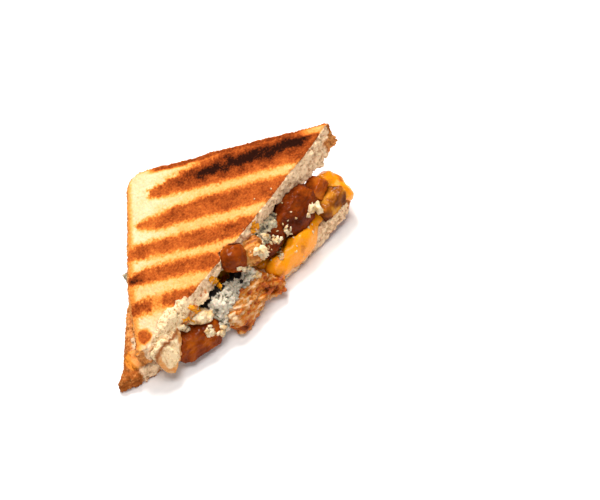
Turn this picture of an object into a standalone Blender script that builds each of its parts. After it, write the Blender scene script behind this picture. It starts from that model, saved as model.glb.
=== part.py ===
"""One half of a pressed chicken melt: two grilled slices of white bread, melted cheese, glazed
chicken and blue cheese, cut corner to corner. It lies on its lower slice with the cut side
towards -Y. All sizes are in metres."""

import math
from dataclasses import dataclass

import bmesh
import bpy
from mathutils import Euler, Matrix, Vector, noise

# Driving dimensions
LEG = 0.115  # side of the square slice, which is each crusted leg of the half
CORNER_RADIUS = 0.012  # rounding of the slice's crusted corner
HALF_CUT = LEG / math.sqrt(2)  # half the length of the cut, and the depth of the half
CELLS = 18  # cells along one leg
CRUST_RADIUS = 0.0018
CLEARANCE = 0.0005  # growth of a cutter, which leaves about 0.3 mm between neighbours

LOWER_THICK = 0.010
LOWER_BULGE = 0.0090  # how far the lower slice's cut swells out at its middle
LOWER_CURL = 0.0050  # lift of the lower slice's far corner
CURL_REACH = 0.040

UPPER_THICK = 0.012
UPPER_BULGE = 0.0042
UPPER_DROOP = 0.0060  # fall of the upper slice's near corner
DROOP_REACH = 0.040
UPPER_LIFT = 0.0020  # rise of the upper slice towards its far corner
UPPER_FLARE = 0.0038  # how far the lower rim of the far end stands out from the cut
TORN_FLARE = 0.0046  # the same for the torn crumb near the other end
NEAR_LEG_SWELL = (0.0008, 0.0018)  # how far the near leg bulges: at the crusted corner, and more at its end
TORN_END = (Vector((-0.0800, 0.0, 0.0)), Vector((-0.80, -0.60, 0.0)))  # a point and the direction of the torn near end
UPPER_CORNER = Vector((-0.0017, 0.0897, 0.0309))  # the crusted corner of the upper face
UPPER_TURN = Euler((math.radians(-5.4), math.radians(-6.6), math.radians(10.6)))

FLAP_WIDTH = 0.0220  # the torn crumb that hangs from the upper slice
FLAP_LENGTH = 0.0158
FLAP_THICK = 0.0046
FLAP_BEND = 0.0020
FLAP_MIDDLE = Vector((-0.0482, -0.0096, 0.0160))

CHEESE_THICK = 0.0032
SLIVER = 4e-6  # edges this short are closed up
ON_CHEESE = 0.0140  # height of the cheese on which most of the chicken lies
BED_INSET = 0.008
BED_RECESS = 0.012  # the bed's front, behind the sloping cut side

NEAR_CORNER = Vector((-HALF_CUT, 0, 0))
FAR_CORNER = Vector((HALF_CUT, 0, 0))
BACK_CORNER = Vector((0, HALF_CUT, 0))

COLOURS = {
    "toast": ((0.62, 0.33, 0.12, 1), 0.85),
    "cheddar": ((0.83, 0.42, 0.05, 1), 0.38),
    "chicken_glazed": ((0.34, 0.11, 0.03, 1), 0.30),
    "chicken_torn": ((0.60, 0.29, 0.13, 1), 0.50),
    "blue_cheese": ((0.66, 0.66, 0.56, 1), 0.70),
    "pale_cheese": ((0.80, 0.68, 0.42, 1), 0.60),
}


@dataclass(frozen=True)
class Chunk:
    """A block of filling: where its middle is, its size, its turn in degrees and its look."""

    name: str
    middle: tuple
    size: tuple
    turn: tuple
    look: str
    rough: float = 0.0011
    roundness: float = 0.55
    base: float = 0.0010  # lowest height its underside may have
    cells: int = 5


FRONT_CHUNKS = (
    Chunk("chicken_near_large", (-0.0345, -0.0068, 0.0080), (0.0275, 0.0190, 0.0155), (-18, 4, -5), "chicken_glazed"),
    Chunk("chicken_torn", (-0.0006, -0.0068, 0.0088), (0.0310, 0.0185, 0.0165), (-12, -3, 20), "chicken_torn", 0.0016),
    Chunk("chicken_far_cube", (0.0675, 0.0100, 0.0258), (0.0110, 0.0100, 0.0088), (-22, -18, 24), "chicken_glazed", 0.0006, 0.35),
    Chunk("chicken_far_large", (0.0500, 0.0095, 0.0235), (0.0270, 0.0190, 0.0185), (-30, -14, 16), "chicken_glazed", base=ON_CHEESE),
    Chunk("chicken_middle", (0.0290, 0.0070, 0.0205), (0.0225, 0.0170, 0.0120), (-28, -10, 12), "chicken_glazed", base=ON_CHEESE),
    Chunk("chicken_tan", (0.0150, 0.0035, 0.0258), (0.0110, 0.0150, 0.0120), (-25, 8, 14), "chicken_torn", base=ON_CHEESE),
)

# The one that sits up between the slices and dents the upper one.
ROUND_CHUNK = Chunk("chicken_round", (0.0047, 0.0020, 0.0313), (0.0120, 0.0190, 0.0125), (-58, 0, -30), "chicken_glazed", 0.0008, 0.85)

FAR_CHUNK = Chunk("chicken_far_corner", (0.0708, 0.0042, 0.0158), (0.0200, 0.0150, 0.0130), (-10, -10, 10), "chicken_torn", 0.0014)

# Strands of the torn piece, fused to it.
STRANDS = (
    Chunk("strand_right", (0.0165, -0.0102, 0.0092), (0.0135, 0.0062, 0.0055), (0, 14, -48), "chicken_torn", 0.0007),
    Chunk("strand_low", (-0.0026, -0.0152, 0.0042), (0.0220, 0.0052, 0.0050), (10, -4, 20), "chicken_torn", 0.0007),
    Chunk("strand_top", (-0.0005, -0.0125, 0.0140), (0.0230, 0.0050, 0.0045), (-20, -6, 20), "chicken_torn", 0.0007),
)

LEG_CHUNKS = (
    Chunk("chicken_back_near_1", (-0.0180, 0.0520, 0.0180), (0.020, 0.016, 0.014), (0, 0, 40), "chicken_glazed", base=ON_CHEESE, cells=4),
    Chunk("chicken_back_near_2", (-0.0350, 0.0290, 0.0175), (0.021, 0.014, 0.014), (0, 0, 48), "chicken_torn", base=ON_CHEESE, cells=4),
    Chunk("chicken_back_far_1", (0.0225, 0.0475, 0.0205), (0.022, 0.017, 0.018), (0, 0, -42), "chicken_glazed", base=ON_CHEESE, cells=4),
    Chunk("chicken_back_far_2", (0.0415, 0.0335, 0.0220), (0.018, 0.016, 0.020), (0, 0, -50), "chicken_torn", base=ON_CHEESE, cells=4),
    Chunk("chicken_back_far_3", (0.0570, 0.0275, 0.0255), (0.020, 0.015, 0.021), (0, 0, -38), "chicken_glazed", base=ON_CHEESE, cells=4),
)

PALE_SHAVING = Chunk("pale_shaving", (-0.0270, -0.0055, 0.0180), (0.0130, 0.0100, 0.0065), (-35, 12, -24), "pale_cheese", 0.0006, 0.6)

# Soft forms are melted from balls: the middle of each and its three radii.
BLUE_LUMP = (
    ((-0.0115, -0.0050, 0.0160), (0.0112, 0.0085, 0.0080)),
    ((-0.0170, -0.0110, 0.0095), (0.0066, 0.0050, 0.0075)),
    ((0.0035, -0.0030, 0.0180), (0.0085, 0.0065, 0.0052)),
    ((-0.0190, -0.0035, 0.0165), (0.0060, 0.0060, 0.0050)),
)
BLUE_SMEAR = (
    ((0.0245, 0.0060, 0.0275), (0.0085, 0.0070, 0.0035)),
    ((0.0335, 0.0090, 0.0290), (0.0075, 0.0070, 0.0035)),
    ((0.0160, 0.0070, 0.0285), (0.0060, 0.0060, 0.0030)),
)
BLUE_LEG = (
    ((-0.0348, 0.0392, 0.0180), (0.0062, 0.0048, 0.0040)),
    ((-0.0385, 0.0424, 0.0172), (0.0036, 0.0034, 0.0028)),
)
CHEESE_LOBES = (
    ((0.0440, -0.0035, 0.0115), (0.0105, 0.0065, 0.0100)),
    ((0.0510, -0.0005, 0.0130), (0.0070, 0.0056, 0.0076)),
    ((0.0590, 0.0020, 0.0130), (0.0080, 0.0046, 0.0044)),
    ((0.0360, -0.0055, 0.0100), (0.0090, 0.0055, 0.0085)),
    ((0.0270, -0.0060, 0.0100), (0.0100, 0.0055, 0.0068)),
    ((0.0660, 0.0030, 0.0135), (0.0090, 0.0050, 0.0040)),
    ((0.0760, 0.0030, 0.0165), (0.0080, 0.0050, 0.0045)),
    ((0.0812, 0.0030, 0.0155), (0.0046, 0.0060, 0.0065)),
    ((0.0798, 0.0085, 0.0200), (0.0056, 0.0065, 0.0048)),
    ((0.0745, 0.0120, 0.0245), (0.0072, 0.0048, 0.0038)),
    ((-0.0460, -0.0090, 0.0050), (0.0060, 0.0045, 0.0040)),
)

# Grill bars on the upper face: distances in metres from the crusted corner, along one leg (start
# and end) and along the other (at the start and at the end), then the width of the groove.
GRILL_BARS = (
    (0.016, 0.106, 0.0200, 0.0110, 0.0110),
    (0.006, 0.088, 0.0412, 0.0338, 0.0100),
    (0.000, 0.066, 0.0572, 0.0540, 0.0095),
    (0.000, 0.051, 0.0730, 0.0682, 0.0090),
    (0.000, 0.031, 0.0896, 0.0880, 0.0080),
)
GRILL_DEPTH = 0.0006


def clear_scene():
    for obj in list(bpy.data.objects):
        bpy.data.objects.remove(obj, do_unlink=True)


def new_collection(name):
    collection = bpy.data.collections.new(name)
    bpy.context.scene.collection.children.link(collection)
    return collection


def material(look):
    """The Principled material of one kind of food."""
    found = bpy.data.materials.get(look)
    if found:
        return found
    colour, roughness = COLOURS[look]
    made = bpy.data.materials.new(look)
    made.use_nodes = True
    shader = made.node_tree.nodes["Principled BSDF"]
    shader.inputs["Base Color"].default_value = colour
    shader.inputs["Roughness"].default_value = roughness
    shader.inputs["Metallic"].default_value = 0
    return made


def add_object(name, bm, look, collection):
    """The bmesh as a named object with its material."""
    mesh = bpy.data.meshes.new(name)
    bm.to_mesh(mesh)
    bm.free()
    obj = bpy.data.objects.new(name, mesh)
    mesh.materials.append(material(look))
    collection.objects.link(obj)
    return obj


def bake_modifiers(obj):
    """Applies all the modifiers of the object."""
    graph = bpy.context.evaluated_depsgraph_get()
    old = obj.data
    mesh = bpy.data.meshes.new_from_object(obj.evaluated_get(graph), depsgraph=graph)
    obj.modifiers.clear()
    obj.data = mesh
    bpy.data.meshes.remove(old)


def edit(obj, change):
    """Runs change on the object's mesh as a bmesh."""
    bm = bmesh.new()
    bm.from_mesh(obj.data)
    change(bm)
    bm.to_mesh(obj.data)
    bm.free()


def smooth_step(edge0, edge1, value):
    t = min(max((value - edge0) / (edge1 - edge0), 0.0), 1.0)
    return t * t * (3 - 2 * t)


def wave(point, length, seed):
    """Smooth noise from -1 to 1, whose bumps are about one length across."""
    return noise.noise(point / length + Vector((seed * 7.3, seed * 3.1, seed * 5.7)))


def keep_largest_body(bm):
    """Drops the loose scraps that a cut leaves: bodies are told apart by their shared edges."""
    bmesh.ops.triangulate(bm, faces=bm.faces[:])
    bmesh.ops.dissolve_degenerate(bm, dist=SLIVER, edges=bm.edges[:])
    left = set(bm.faces)
    bodies = []
    while left:
        body, frontier = [], [left.pop()]
        while frontier:
            face = frontier.pop()
            body.append(face)
            for edge in face.edges:
                for other in edge.link_faces if edge.is_manifold else ():
                    if other in left:
                        left.discard(other)
                        frontier.append(other)
        bodies.append(body)
    bodies.sort(key=lambda body: sum(face.calc_area() for face in body))
    for body in bodies[:-1]:
        bmesh.ops.delete(bm, geom=body, context="FACES")


def round_corner(p, q):
    """Moves a point of the square slice, so that its corner at the origin is an arc."""
    if p >= CORNER_RADIUS or q >= CORNER_RADIUS:
        return p, q
    offset = Vector((p - CORNER_RADIUS, q - CORNER_RADIUS))
    reach = max(abs(offset.x), abs(offset.y))
    if offset.length > 0:
        offset *= reach / offset.length
    return CORNER_RADIUS + offset.x, CORNER_RADIUS + offset.y


def slice_half(name, thickness, collection):
    """A square slice cut corner to corner, its upper face at Z 0, its cut on the X axis."""
    bm = bmesh.new()
    bmesh.ops.create_grid(bm, x_segments=CELLS, y_segments=CELLS, size=LEG / 2)
    bmesh.ops.translate(bm, verts=bm.verts, vec=(LEG / 2, LEG / 2, 0))
    everything = bm.verts[:] + bm.edges[:] + bm.faces[:]
    bmesh.ops.bisect_plane(
        bm, geom=everything, plane_co=(LEG, 0, 0), plane_no=(1, 1, 0), clear_outer=True, dist=1e-6
    )
    for vert in bm.verts:
        vert.co.x, vert.co.y = round_corner(vert.co.x, vert.co.y)
    place = Matrix.Translation(BACK_CORNER) @ Matrix.Rotation(math.radians(-135), 4, "Z")
    bmesh.ops.transform(bm, matrix=place, verts=bm.verts)
    obj = add_object(name, bm, "toast", collection)
    solid = obj.modifiers.new("thickness", "SOLIDIFY")
    solid.thickness = thickness
    solid.offset = -1
    bake_modifiers(obj)
    edit(obj, soften_rims)
    return obj


def soften_rims(bm):
    """Rounds the crusted rims well, and the rims of the cut a little."""
    rims = [e for e in bm.edges if e.is_manifold and e.calc_face_angle() > math.radians(60)]
    flat = [e for e in rims if abs(e.verts[0].co.z - e.verts[1].co.z) < 1e-6]
    cut = [e for e in flat if max(v.co.y for v in e.verts) < 1e-5]
    crust = [e for e in flat if e not in cut]
    bmesh.ops.bevel(bm, geom=crust, offset=CRUST_RADIUS, segments=2, profile=0.5, affect="EDGES")
    rims = [e for e in bm.edges if max(abs(v.co.y) for v in e.verts) < 1e-5]
    rims = [e for e in rims if e.is_manifold and e.calc_face_angle() > math.radians(60)]
    bmesh.ops.bevel(bm, geom=rims, offset=0.0008, segments=1, profile=0.5, affect="EDGES")


def swell_cut(point, bulge):
    """How far the cut swells towards -Y at this point: most at the middle, fading inwards."""
    along = max(0.0, 1 - (point.x / HALF_CUT) ** 2)
    fullness = 0.42 if point.x < 0 else 0.6  # the near half of the cut swells sooner
    return -bulge * along**fullness * smooth_step(0.030, 0.0, point.y)


def near_cut(point):
    return smooth_step(0.012, 0.0, point.y)


def grill_groove(point):
    """Depth of the grill's print at a point of the upper face, from 0 to 1."""
    reach = point - BACK_CORNER
    along, across = (reach.x - reach.y) / math.sqrt(2), (-reach.x - reach.y) / math.sqrt(2)
    depth = 0.0
    for start, end, first, last, width in GRILL_BARS:
        middle = first + (last - first) * (along - start) / (end - start)
        side = smooth_step(width / 2 + 0.0015, width / 2 - 0.0015, abs(across - middle))
        ends = smooth_step(start - 0.003, start + 0.003, along) * smooth_step(end + 0.003, end - 0.003, along)
        depth = max(depth, side * ends)
    return depth


def shape_lower(bm):
    """Swells the cut, curls the far corner up and thins the near one, over a flat underside."""
    for vert in bm.verts:
        co = vert.co
        height = (co.z + LOWER_THICK) / LOWER_THICK
        ragged = 0.0012 * near_cut(co) * wave(co, 0.007, 1)
        near = smooth_step(0.035, 0.0, (co - NEAR_CORNER).xy.length)
        far = smooth_step(CURL_REACH, 0.0, (co - FAR_CORNER).xy.length)
        upper = 0.0007 * wave(Vector((co.x, co.y, 0)), 0.022, 2)
        co.z = height * (LOWER_THICK * (1 - 0.25 * near) + upper) + LOWER_CURL * far
        co.y += swell_cut(co, LOWER_BULGE) + ragged


def near_leg_swell(point):
    """How far the near leg of the upper slice bulges outwards at this point."""
    reach = point - BACK_CORNER
    along, across = (reach.x - reach.y) / math.sqrt(2), (-reach.x - reach.y) / math.sqrt(2)
    first, more = NEAR_LEG_SWELL
    size = (first + more * smooth_step(0.0, 0.090, across)) * smooth_step(0.030, 0.0, along)
    return Vector((-1, 1, 0)).normalized() * size


def tear_end(bm):
    """Cuts the tip off the near end of the upper slice and closes the tear."""
    point, direction = TORN_END
    everything = bm.verts[:] + bm.edges[:] + bm.faces[:]
    bmesh.ops.bisect_plane(bm, geom=everything, plane_co=point, plane_no=direction, clear_outer=True, dist=1e-6)
    bmesh.ops.holes_fill(bm, edges=[edge for edge in bm.edges if edge.is_boundary])


def shape_upper(bm):
    """Presses the upper slice thin along the near half of its cut and lets that corner droop."""
    for vert in bm.verts:
        co = vert.co
        depth = -co.z / UPPER_THICK
        near = smooth_step(DROOP_REACH, 0.0, (co - NEAR_CORNER).xy.length)
        far = smooth_step(0.035, 0.070, co.x)
        pressed = math.exp(-(((co.x + 0.005) / 0.030) ** 2)) * smooth_step(0.040, 0.0, co.y)
        thick = UPPER_THICK * (1 + 0.16 * smooth_step(0.01, 0.07, co.x) + 0.10 * far - 0.30 * pressed - 0.20 * near)
        ragged = 0.0014 * near_cut(co) * wave(co, 0.007, 3) * (0.4 + depth)
        skin = 0.0006 * wave(Vector((co.x, co.y, 0)), 0.026, 4)
        groove = GRILL_DEPTH * grill_groove(co) * (depth < 0.02)
        lift = UPPER_LIFT * smooth_step(0.025, 0.11, (co - BACK_CORNER).dot(Vector((1, -1, 0))) / math.sqrt(2))
        torn = smooth_step(-0.082, -0.066, co.x) * smooth_step(-0.024, -0.042, co.x)
        flare = (UPPER_FLARE * far + TORN_FLARE * torn) * depth * near_cut(co)
        leg = near_leg_swell(co)
        co.z = -depth * thick + skin + lift - groove - UPPER_DROOP * near
        co.y += swell_cut(co, UPPER_BULGE) + ragged - flare
        co.xy += leg.xy


def lower_slice(collection):
    obj = slice_half("bread_lower", LOWER_THICK, collection)
    edit(obj, shape_lower)
    return obj


def upper_slice(collection):
    """The upper slice, turned and tilted on the filling, with the torn flap at its near end."""
    obj = slice_half("bread_upper", UPPER_THICK, collection)
    edit(obj, shape_upper)
    edit(obj, tear_end)
    place = Matrix.Translation(UPPER_CORNER) @ UPPER_TURN.to_matrix().to_4x4() @ Matrix.Translation(-BACK_CORNER)
    obj.data.transform(place)
    fuse(obj, [torn_flap(collection)])
    return obj


def torn_flap(collection):
    """A torn piece of crumb that hangs from the upper slice's near end over the cut."""
    bm = bmesh.new()
    bmesh.ops.create_cube(bm, size=1)
    bmesh.ops.subdivide_edges(bm, edges=bm.edges[:], cuts=3, use_grid_fill=True)
    for vert in bm.verts:
        co = vert.co.lerp(vert.co.normalized() * 0.62, 0.35)
        down = 0.5 - co.z
        bend = FLAP_BEND * math.cos(co.x * math.pi) * down
        side = co.x * FLAP_WIDTH * (1 - 0.55 * down) - 0.0065 * down
        vert.co = Vector((side, co.y * FLAP_THICK - bend, co.z * FLAP_LENGTH))
        vert.co += Vector((0, 0.4, 1)) * 0.0016 * wave(vert.co, 0.006, 5)
    turn = Euler((math.radians(-28), math.radians(-8), math.radians(8))).to_matrix().to_4x4()
    bmesh.ops.transform(bm, matrix=Matrix.Translation(FLAP_MIDDLE) @ turn, verts=bm.verts)
    return add_object("flap", bm, "toast", collection)


def fuse(obj, others):
    """Joins the others to the object with Boolean unions and removes them."""
    for other in others:
        union = obj.modifiers.new("union", "BOOLEAN")
        union.operation = "UNION"
        union.solver = "MANIFOLD"
        union.object = other
        bake_modifiers(obj)
        bpy.data.objects.remove(other, do_unlink=True)
    edit(obj, keep_largest_body)


def block(chunk, collection):
    """A block of meat or cheese: a box with soft corners and an uneven skin."""
    bm = bmesh.new()
    bmesh.ops.create_cube(bm, size=1)
    bmesh.ops.subdivide_edges(bm, edges=bm.edges[:], cuts=chunk.cells - 1, use_grid_fill=True)
    seed = sum(map(ord, chunk.name)) % 97
    for vert in bm.verts:
        ball = vert.co.normalized() * 0.62
        soft = vert.co.lerp(ball, chunk.roundness)
        vert.co = Vector(a * b for a, b in zip(soft, chunk.size))
        vert.co += vert.co.normalized() * chunk.rough * (wave(vert.co, 0.008, seed) + 0.5 * wave(vert.co, 0.004, seed + 1))
    turn = Euler([math.radians(a) for a in chunk.turn]).to_matrix().to_4x4()
    bmesh.ops.transform(bm, matrix=Matrix.Translation(chunk.middle) @ turn, verts=bm.verts)
    for vert in bm.verts:
        vert.co.z = max(vert.co.z, chunk.base)
    return add_object(chunk.name, bm, chunk.look, collection)


def ball(middle, radii, collection):
    bm = bmesh.new()
    bmesh.ops.create_icosphere(bm, subdivisions=3, radius=1)
    for vert in bm.verts:
        vert.co = Vector(a * b for a, b in zip(vert.co, radii)) + Vector(middle)
    return add_object("ball", bm, "cheddar", collection)


def soft_form(name, look, pieces, voxel, rough, keep, collection):
    """Melts the pieces into one skin, roughens it and thins its mesh to the share kept."""
    bm = bmesh.new()
    for piece in pieces:
        bm.from_mesh(piece.data)
        bpy.data.objects.remove(piece, do_unlink=True)
    obj = add_object(name, bm, look, collection)
    melt = obj.modifiers.new("melt", "REMESH")
    melt.mode = "VOXEL"
    melt.voxel_size = voxel
    relax = obj.modifiers.new("relax", "SMOOTH")
    relax.iterations = 3
    bake_modifiers(obj)
    seed = sum(map(ord, name)) % 97
    for vert in obj.data.vertices:
        co = vert.co
        vert.co = co + vert.normal * rough * (wave(co, 0.006, seed) + 0.6 * wave(co, 0.003, seed + 1))
    thin = obj.modifiers.new("thin", "DECIMATE")
    thin.ratio = keep
    bake_modifiers(obj)
    obj.data.materials.clear()
    obj.data.materials.append(material(look))
    return obj


def layer(name, outline_inset, low, high, front, near_end, collection):
    """A flat layer of the half's outline, inset at the legs, from low to high. It stops at the
    planes Y = front and X = near_end."""
    bm = bmesh.new()
    bmesh.ops.create_grid(bm, x_segments=14, y_segments=14, size=LEG / 2 - outline_inset)
    middle = LEG / 2 + outline_inset / 2
    bmesh.ops.translate(bm, verts=bm.verts, vec=(middle, middle, 0))
    place = Matrix.Translation(BACK_CORNER) @ Matrix.Rotation(math.radians(-135), 4, "Z")
    bmesh.ops.transform(bm, matrix=place, verts=bm.verts)
    everything = bm.verts[:] + bm.edges[:] + bm.faces[:]
    bmesh.ops.bisect_plane(
        bm, geom=everything, plane_co=(0, front, 0), plane_no=(0, -1, 0), clear_outer=True, dist=1e-6
    )
    everything = bm.verts[:] + bm.edges[:] + bm.faces[:]
    bmesh.ops.bisect_plane(
        bm, geom=everything, plane_co=(near_end, 0, 0), plane_no=(-1, 0, 0), clear_outer=True, dist=1e-6
    )
    obj = add_object(name, bm, "cheddar", collection)
    solid = obj.modifiers.new("thickness", "SOLIDIFY")
    solid.thickness = high - low
    solid.offset = -1
    bake_modifiers(obj)
    for vert in obj.data.vertices:
        vert.co.z += high
    return obj


def cheese_sheet(collection):
    """The melted cheese: a thin layer on the lower slice, with lobes that run over the cut."""
    sheet = layer("sheet", 0.003, LOWER_THICK - 0.002, LOWER_THICK + CHEESE_THICK, -0.001, -0.056, collection)
    for vert in sheet.data.vertices:
        far = smooth_step(CURL_REACH, 0.0, (vert.co - FAR_CORNER).xy.length)
        vert.co.z += LOWER_CURL * far
    lobes = [ball(middle, radii, collection) for middle, radii in CHEESE_LOBES]
    return soft_form("cheddar", "cheddar", [sheet, *lobes], 0.0012, 0.0005, 0.052, collection)


def under_upper_slice(point):
    """Height of the upper slice's middle plane over a point."""
    normal = UPPER_TURN.to_matrix() @ Vector((0, 0, 1))
    base = UPPER_CORNER - normal * UPPER_THICK * 0.6
    return base.z - (normal.x * (point.x - base.x) + normal.y * (point.y - base.y)) / normal.z


def chicken_bed(collection):
    """The pulled chicken that runs through between the slices, behind the blocks at the cut."""
    bed = layer("bed", BED_INSET, LOWER_THICK, LOWER_THICK + 0.01, BED_RECESS, -LEG, collection)
    for vert in bed.data.vertices:
        if vert.co.z > LOWER_THICK + 0.005:
            vert.co.z = under_upper_slice(vert.co)
    return soft_form("chicken_bed", "chicken_torn", [bed], 0.0046, 0.0013, 0.20, collection)


def torn_chicken(chunk, collection):
    """The torn piece with its strands fused to it."""
    obj = block(chunk, collection)
    fuse(obj, [block(strand, collection) for strand in STRANDS])
    return obj


def triangulate(bm):
    """Splits the faces early, so that a shape and its cutter bend along the same lines."""
    bmesh.ops.triangulate(bm, faces=bm.faces[:])


def grown(obj, cutters):
    """A cutter: the object's shape, before it is cut itself, grown by the clearance."""
    copy = bpy.data.objects.new(obj.name + ".cutter", obj.data.copy())
    cutters.objects.link(copy)
    swell = copy.modifiers.new("clearance", "DISPLACE")
    swell.strength = CLEARANCE
    swell.mid_level = 0
    copy.hide_render = True
    copy.display_type = "WIRE"
    return copy


def cut_by(obj, cutters):
    """Cuts the grown neighbours out of the object and drops scraps."""
    for cutter in cutters:
        cut = obj.modifiers.new("cut", "BOOLEAN")
        cut.operation = "DIFFERENCE"
        cut.solver = "MANIFOLD"
        cut.object = cutter
    bake_modifiers(obj)
    edit(obj, keep_largest_body)


def boxes_meet(first, second):
    """Whether the boxes round two meshes overlap."""
    corners = [[v.co for v in o.data.vertices] for o in (first, second)]
    for axis in range(3):
        low = [min(c[axis] for c in side) for side in corners]
        high = [max(c[axis] for c in side) for side in corners]
        if low[0] > high[1] or low[1] > high[0]:
            return False
    return True


def centre_on_origin(solids):
    """Puts the origin under the middle of the whole part's box, at the height of its base."""
    corners = [vert.co for obj in solids for vert in obj.data.vertices]
    low = Vector([min(co[axis] for co in corners) for axis in range(3)])
    high = Vector([max(co[axis] for co in corners) for axis in range(3)])
    shift = Vector((-(low.x + high.x) / 2, -(low.y + high.y) / 2, -low.z))
    for obj in solids:
        obj.data.transform(Matrix.Translation(shift))
    return shift


def build():
    clear_scene()
    sandwich = new_collection("chicken_melt")
    cutters = new_collection("cutters")
    cutters.hide_render = True
    shapes = [lower_slice(sandwich), block(ROUND_CHUNK, sandwich), upper_slice(sandwich)]
    shapes.append(block(FRONT_CHUNKS[0], sandwich))
    shapes.append(torn_chicken(FRONT_CHUNKS[1], sandwich))
    shapes += [block(chunk, sandwich) for chunk in (*FRONT_CHUNKS[2:], *LEG_CHUNKS)]
    shapes.append(cheese_sheet(sandwich))
    shapes += [block(chunk, sandwich) for chunk in (FAR_CHUNK, PALE_SHAVING)]
    for name, balls in (("blue_cheese_lump", BLUE_LUMP), ("blue_cheese_smear", BLUE_SMEAR), ("blue_cheese_leg", BLUE_LEG)):
        pieces = [ball(middle, radii, sandwich) for middle, radii in balls]
        shapes.append(soft_form(name, "blue_cheese", pieces, 0.0011, 0.0008, 0.066, sandwich))
    shapes.append(chicken_bed(sandwich))
    before = []
    for obj in shapes:
        edit(obj, triangulate)
        near = [cutter for cutter in before if boxes_meet(cutter, obj)]
        before.append(grown(obj, cutters))
        cut_by(obj, near)
    shift = centre_on_origin(shapes)
    for obj in shapes:
        obj.data.shade_smooth()
    return shift


SHIFT = build()
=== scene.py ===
"""Dresses one half of a pressed chicken melt: grilled bread, melted cheese, glazed chicken and blue
cheese, lying on its lower slice with the cut side towards the camera."""

from __future__ import annotations

import logging
import math
import random
from dataclasses import dataclass, field
from enum import Enum
from typing import Iterable, Sequence

import bpy
import numpy as np
from mathutils import Euler, Matrix, Vector, noise
from mathutils.bvhtree import BVHTree

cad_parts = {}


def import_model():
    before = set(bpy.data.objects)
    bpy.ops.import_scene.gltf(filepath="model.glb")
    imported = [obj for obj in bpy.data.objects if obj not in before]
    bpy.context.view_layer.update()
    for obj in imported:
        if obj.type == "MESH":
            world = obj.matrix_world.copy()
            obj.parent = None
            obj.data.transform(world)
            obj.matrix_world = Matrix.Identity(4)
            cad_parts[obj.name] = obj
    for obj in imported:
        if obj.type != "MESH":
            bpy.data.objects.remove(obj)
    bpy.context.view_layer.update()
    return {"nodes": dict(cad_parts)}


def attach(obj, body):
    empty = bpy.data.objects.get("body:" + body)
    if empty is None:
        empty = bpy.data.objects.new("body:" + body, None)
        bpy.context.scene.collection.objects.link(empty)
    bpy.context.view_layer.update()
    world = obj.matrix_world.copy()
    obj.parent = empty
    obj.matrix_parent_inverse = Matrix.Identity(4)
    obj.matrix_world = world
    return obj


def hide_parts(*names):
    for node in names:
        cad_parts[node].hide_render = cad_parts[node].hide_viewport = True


LOG = logging.getLogger("chicken_melt")
BODY = "root"

LEG = 0.115  # the side of the whole square slice
HALF_CUT = LEG / math.sqrt(2)
SLICE_ORIGIN = Vector((-0.006117, -0.032151, 0.0))  # the middle of the cut, from the part's origin
WELD = 1e-6  # points of a solid this close are one point
PICTURE = (600, 500)  # the photograph's size in pixels

SEED_STEP = 7.31  # how far apart in the noise two seeds are
CRUMB_FADE = 0.6  # strength of each finer layer of crumbly lumps
CRUMB_MIDDLE = 0.7  # about the middle of their heights
PIT_RISE = 1.9  # how fast a pit's wall rises from its middle
RIDGE_FALL = 2.6  # how fast a ridge falls away from its crest

Colour = tuple[float, float, float, float]
Spot = tuple[float, float, float]  # a place, a direction, or a place on a flat and a radius
Pair = tuple[float, float]
Span = tuple[float, float]  # where a smooth step starts and where it ends


def tone(red: int, green: int, blue: int) -> Colour:
    """A colour as seen on a screen, made linear by the sRGB curve.

    Args:
        red, green, blue: from 0 to 255.

    Returns:
        The linear colour with full alpha.
    """
    levels = [value / 255 for value in (red, green, blue)]
    linear = [v / 12.92 if v <= 0.04045 else ((v + 0.055) / 1.055) ** 2.4 for v in levels]
    return (linear[0], linear[1], linear[2], 1.0)


def grey(level: float) -> Colour:
    """A linear grey with full alpha."""
    return (level, level, level, 1.0)


def ease(edge0: float, edge1: float, values: np.ndarray) -> np.ndarray:
    """A smooth step from 0 at edge0 to 1 at edge1.

    Args:
        edge0, edge1: where the step starts and ends; it falls if edge1 is the lower.
        values: the numbers to step.

    Returns:
        Numbers from 0 to 1.
    """
    t = np.clip((values - edge0) / (edge1 - edge0), 0.0, 1.0)
    return t * t * (3 - 2 * t)


def round_patch(radius: float, away: np.ndarray) -> np.ndarray:
    """A soft round patch: 1 up to half the radius away from its middle, and 0 beyond the radius."""
    return ease(radius, radius / 2, away)


class Grain(Enum):
    """Kinds of uneven skin."""

    CLOUDY = "rounded swells and dips"
    CRUMBLY = "broken lumps of several sizes"
    PITTED = "round pits"
    STRANDED = "ridges along the stretched direction"


@dataclass(frozen=True)
class Relief:
    """One layer of uneven skin, pushed out along the normals."""

    grain: Grain
    size: float  # width of a lump, in metres
    depth: float
    stretch: Spot = (1.0, 1.0, 1.0)
    turn: float = 0.0  # about Z, in degrees
    seed: float = 0.0
    where: str = ""  # the mask that holds it back; everywhere if left out

    def heights(self, points: np.ndarray) -> np.ndarray:
        """Height of the skin at each point.

        Args:
            points: rows of X, Y and Z in metres.

        Returns:
            One height in metres for each row.
        """
        turned = points @ np.array(Matrix.Rotation(math.radians(self.turn), 3, "Z"))
        rows = (turned / (np.array(self.stretch) * self.size) + self.seed * SEED_STEP).tolist()
        if self.grain is Grain.CLOUDY:
            values = [noise.noise(row) for row in rows]
        elif self.grain is Grain.CRUMBLY:
            lumps = [noise.turbulence(row, 3, True, amplitude_scale=CRUMB_FADE) for row in rows]
            values = [2 * lump - CRUMB_MIDDLE for lump in lumps]
        elif self.grain is Grain.PITTED:
            values = [min(0.0, PIT_RISE * noise.voronoi(row)[0][0] - 1.0) for row in rows]
        else:
            values = [1 - RIDGE_FALL * abs(noise.noise(row)) for row in rows]
        return self.depth * np.array(values)


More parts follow.
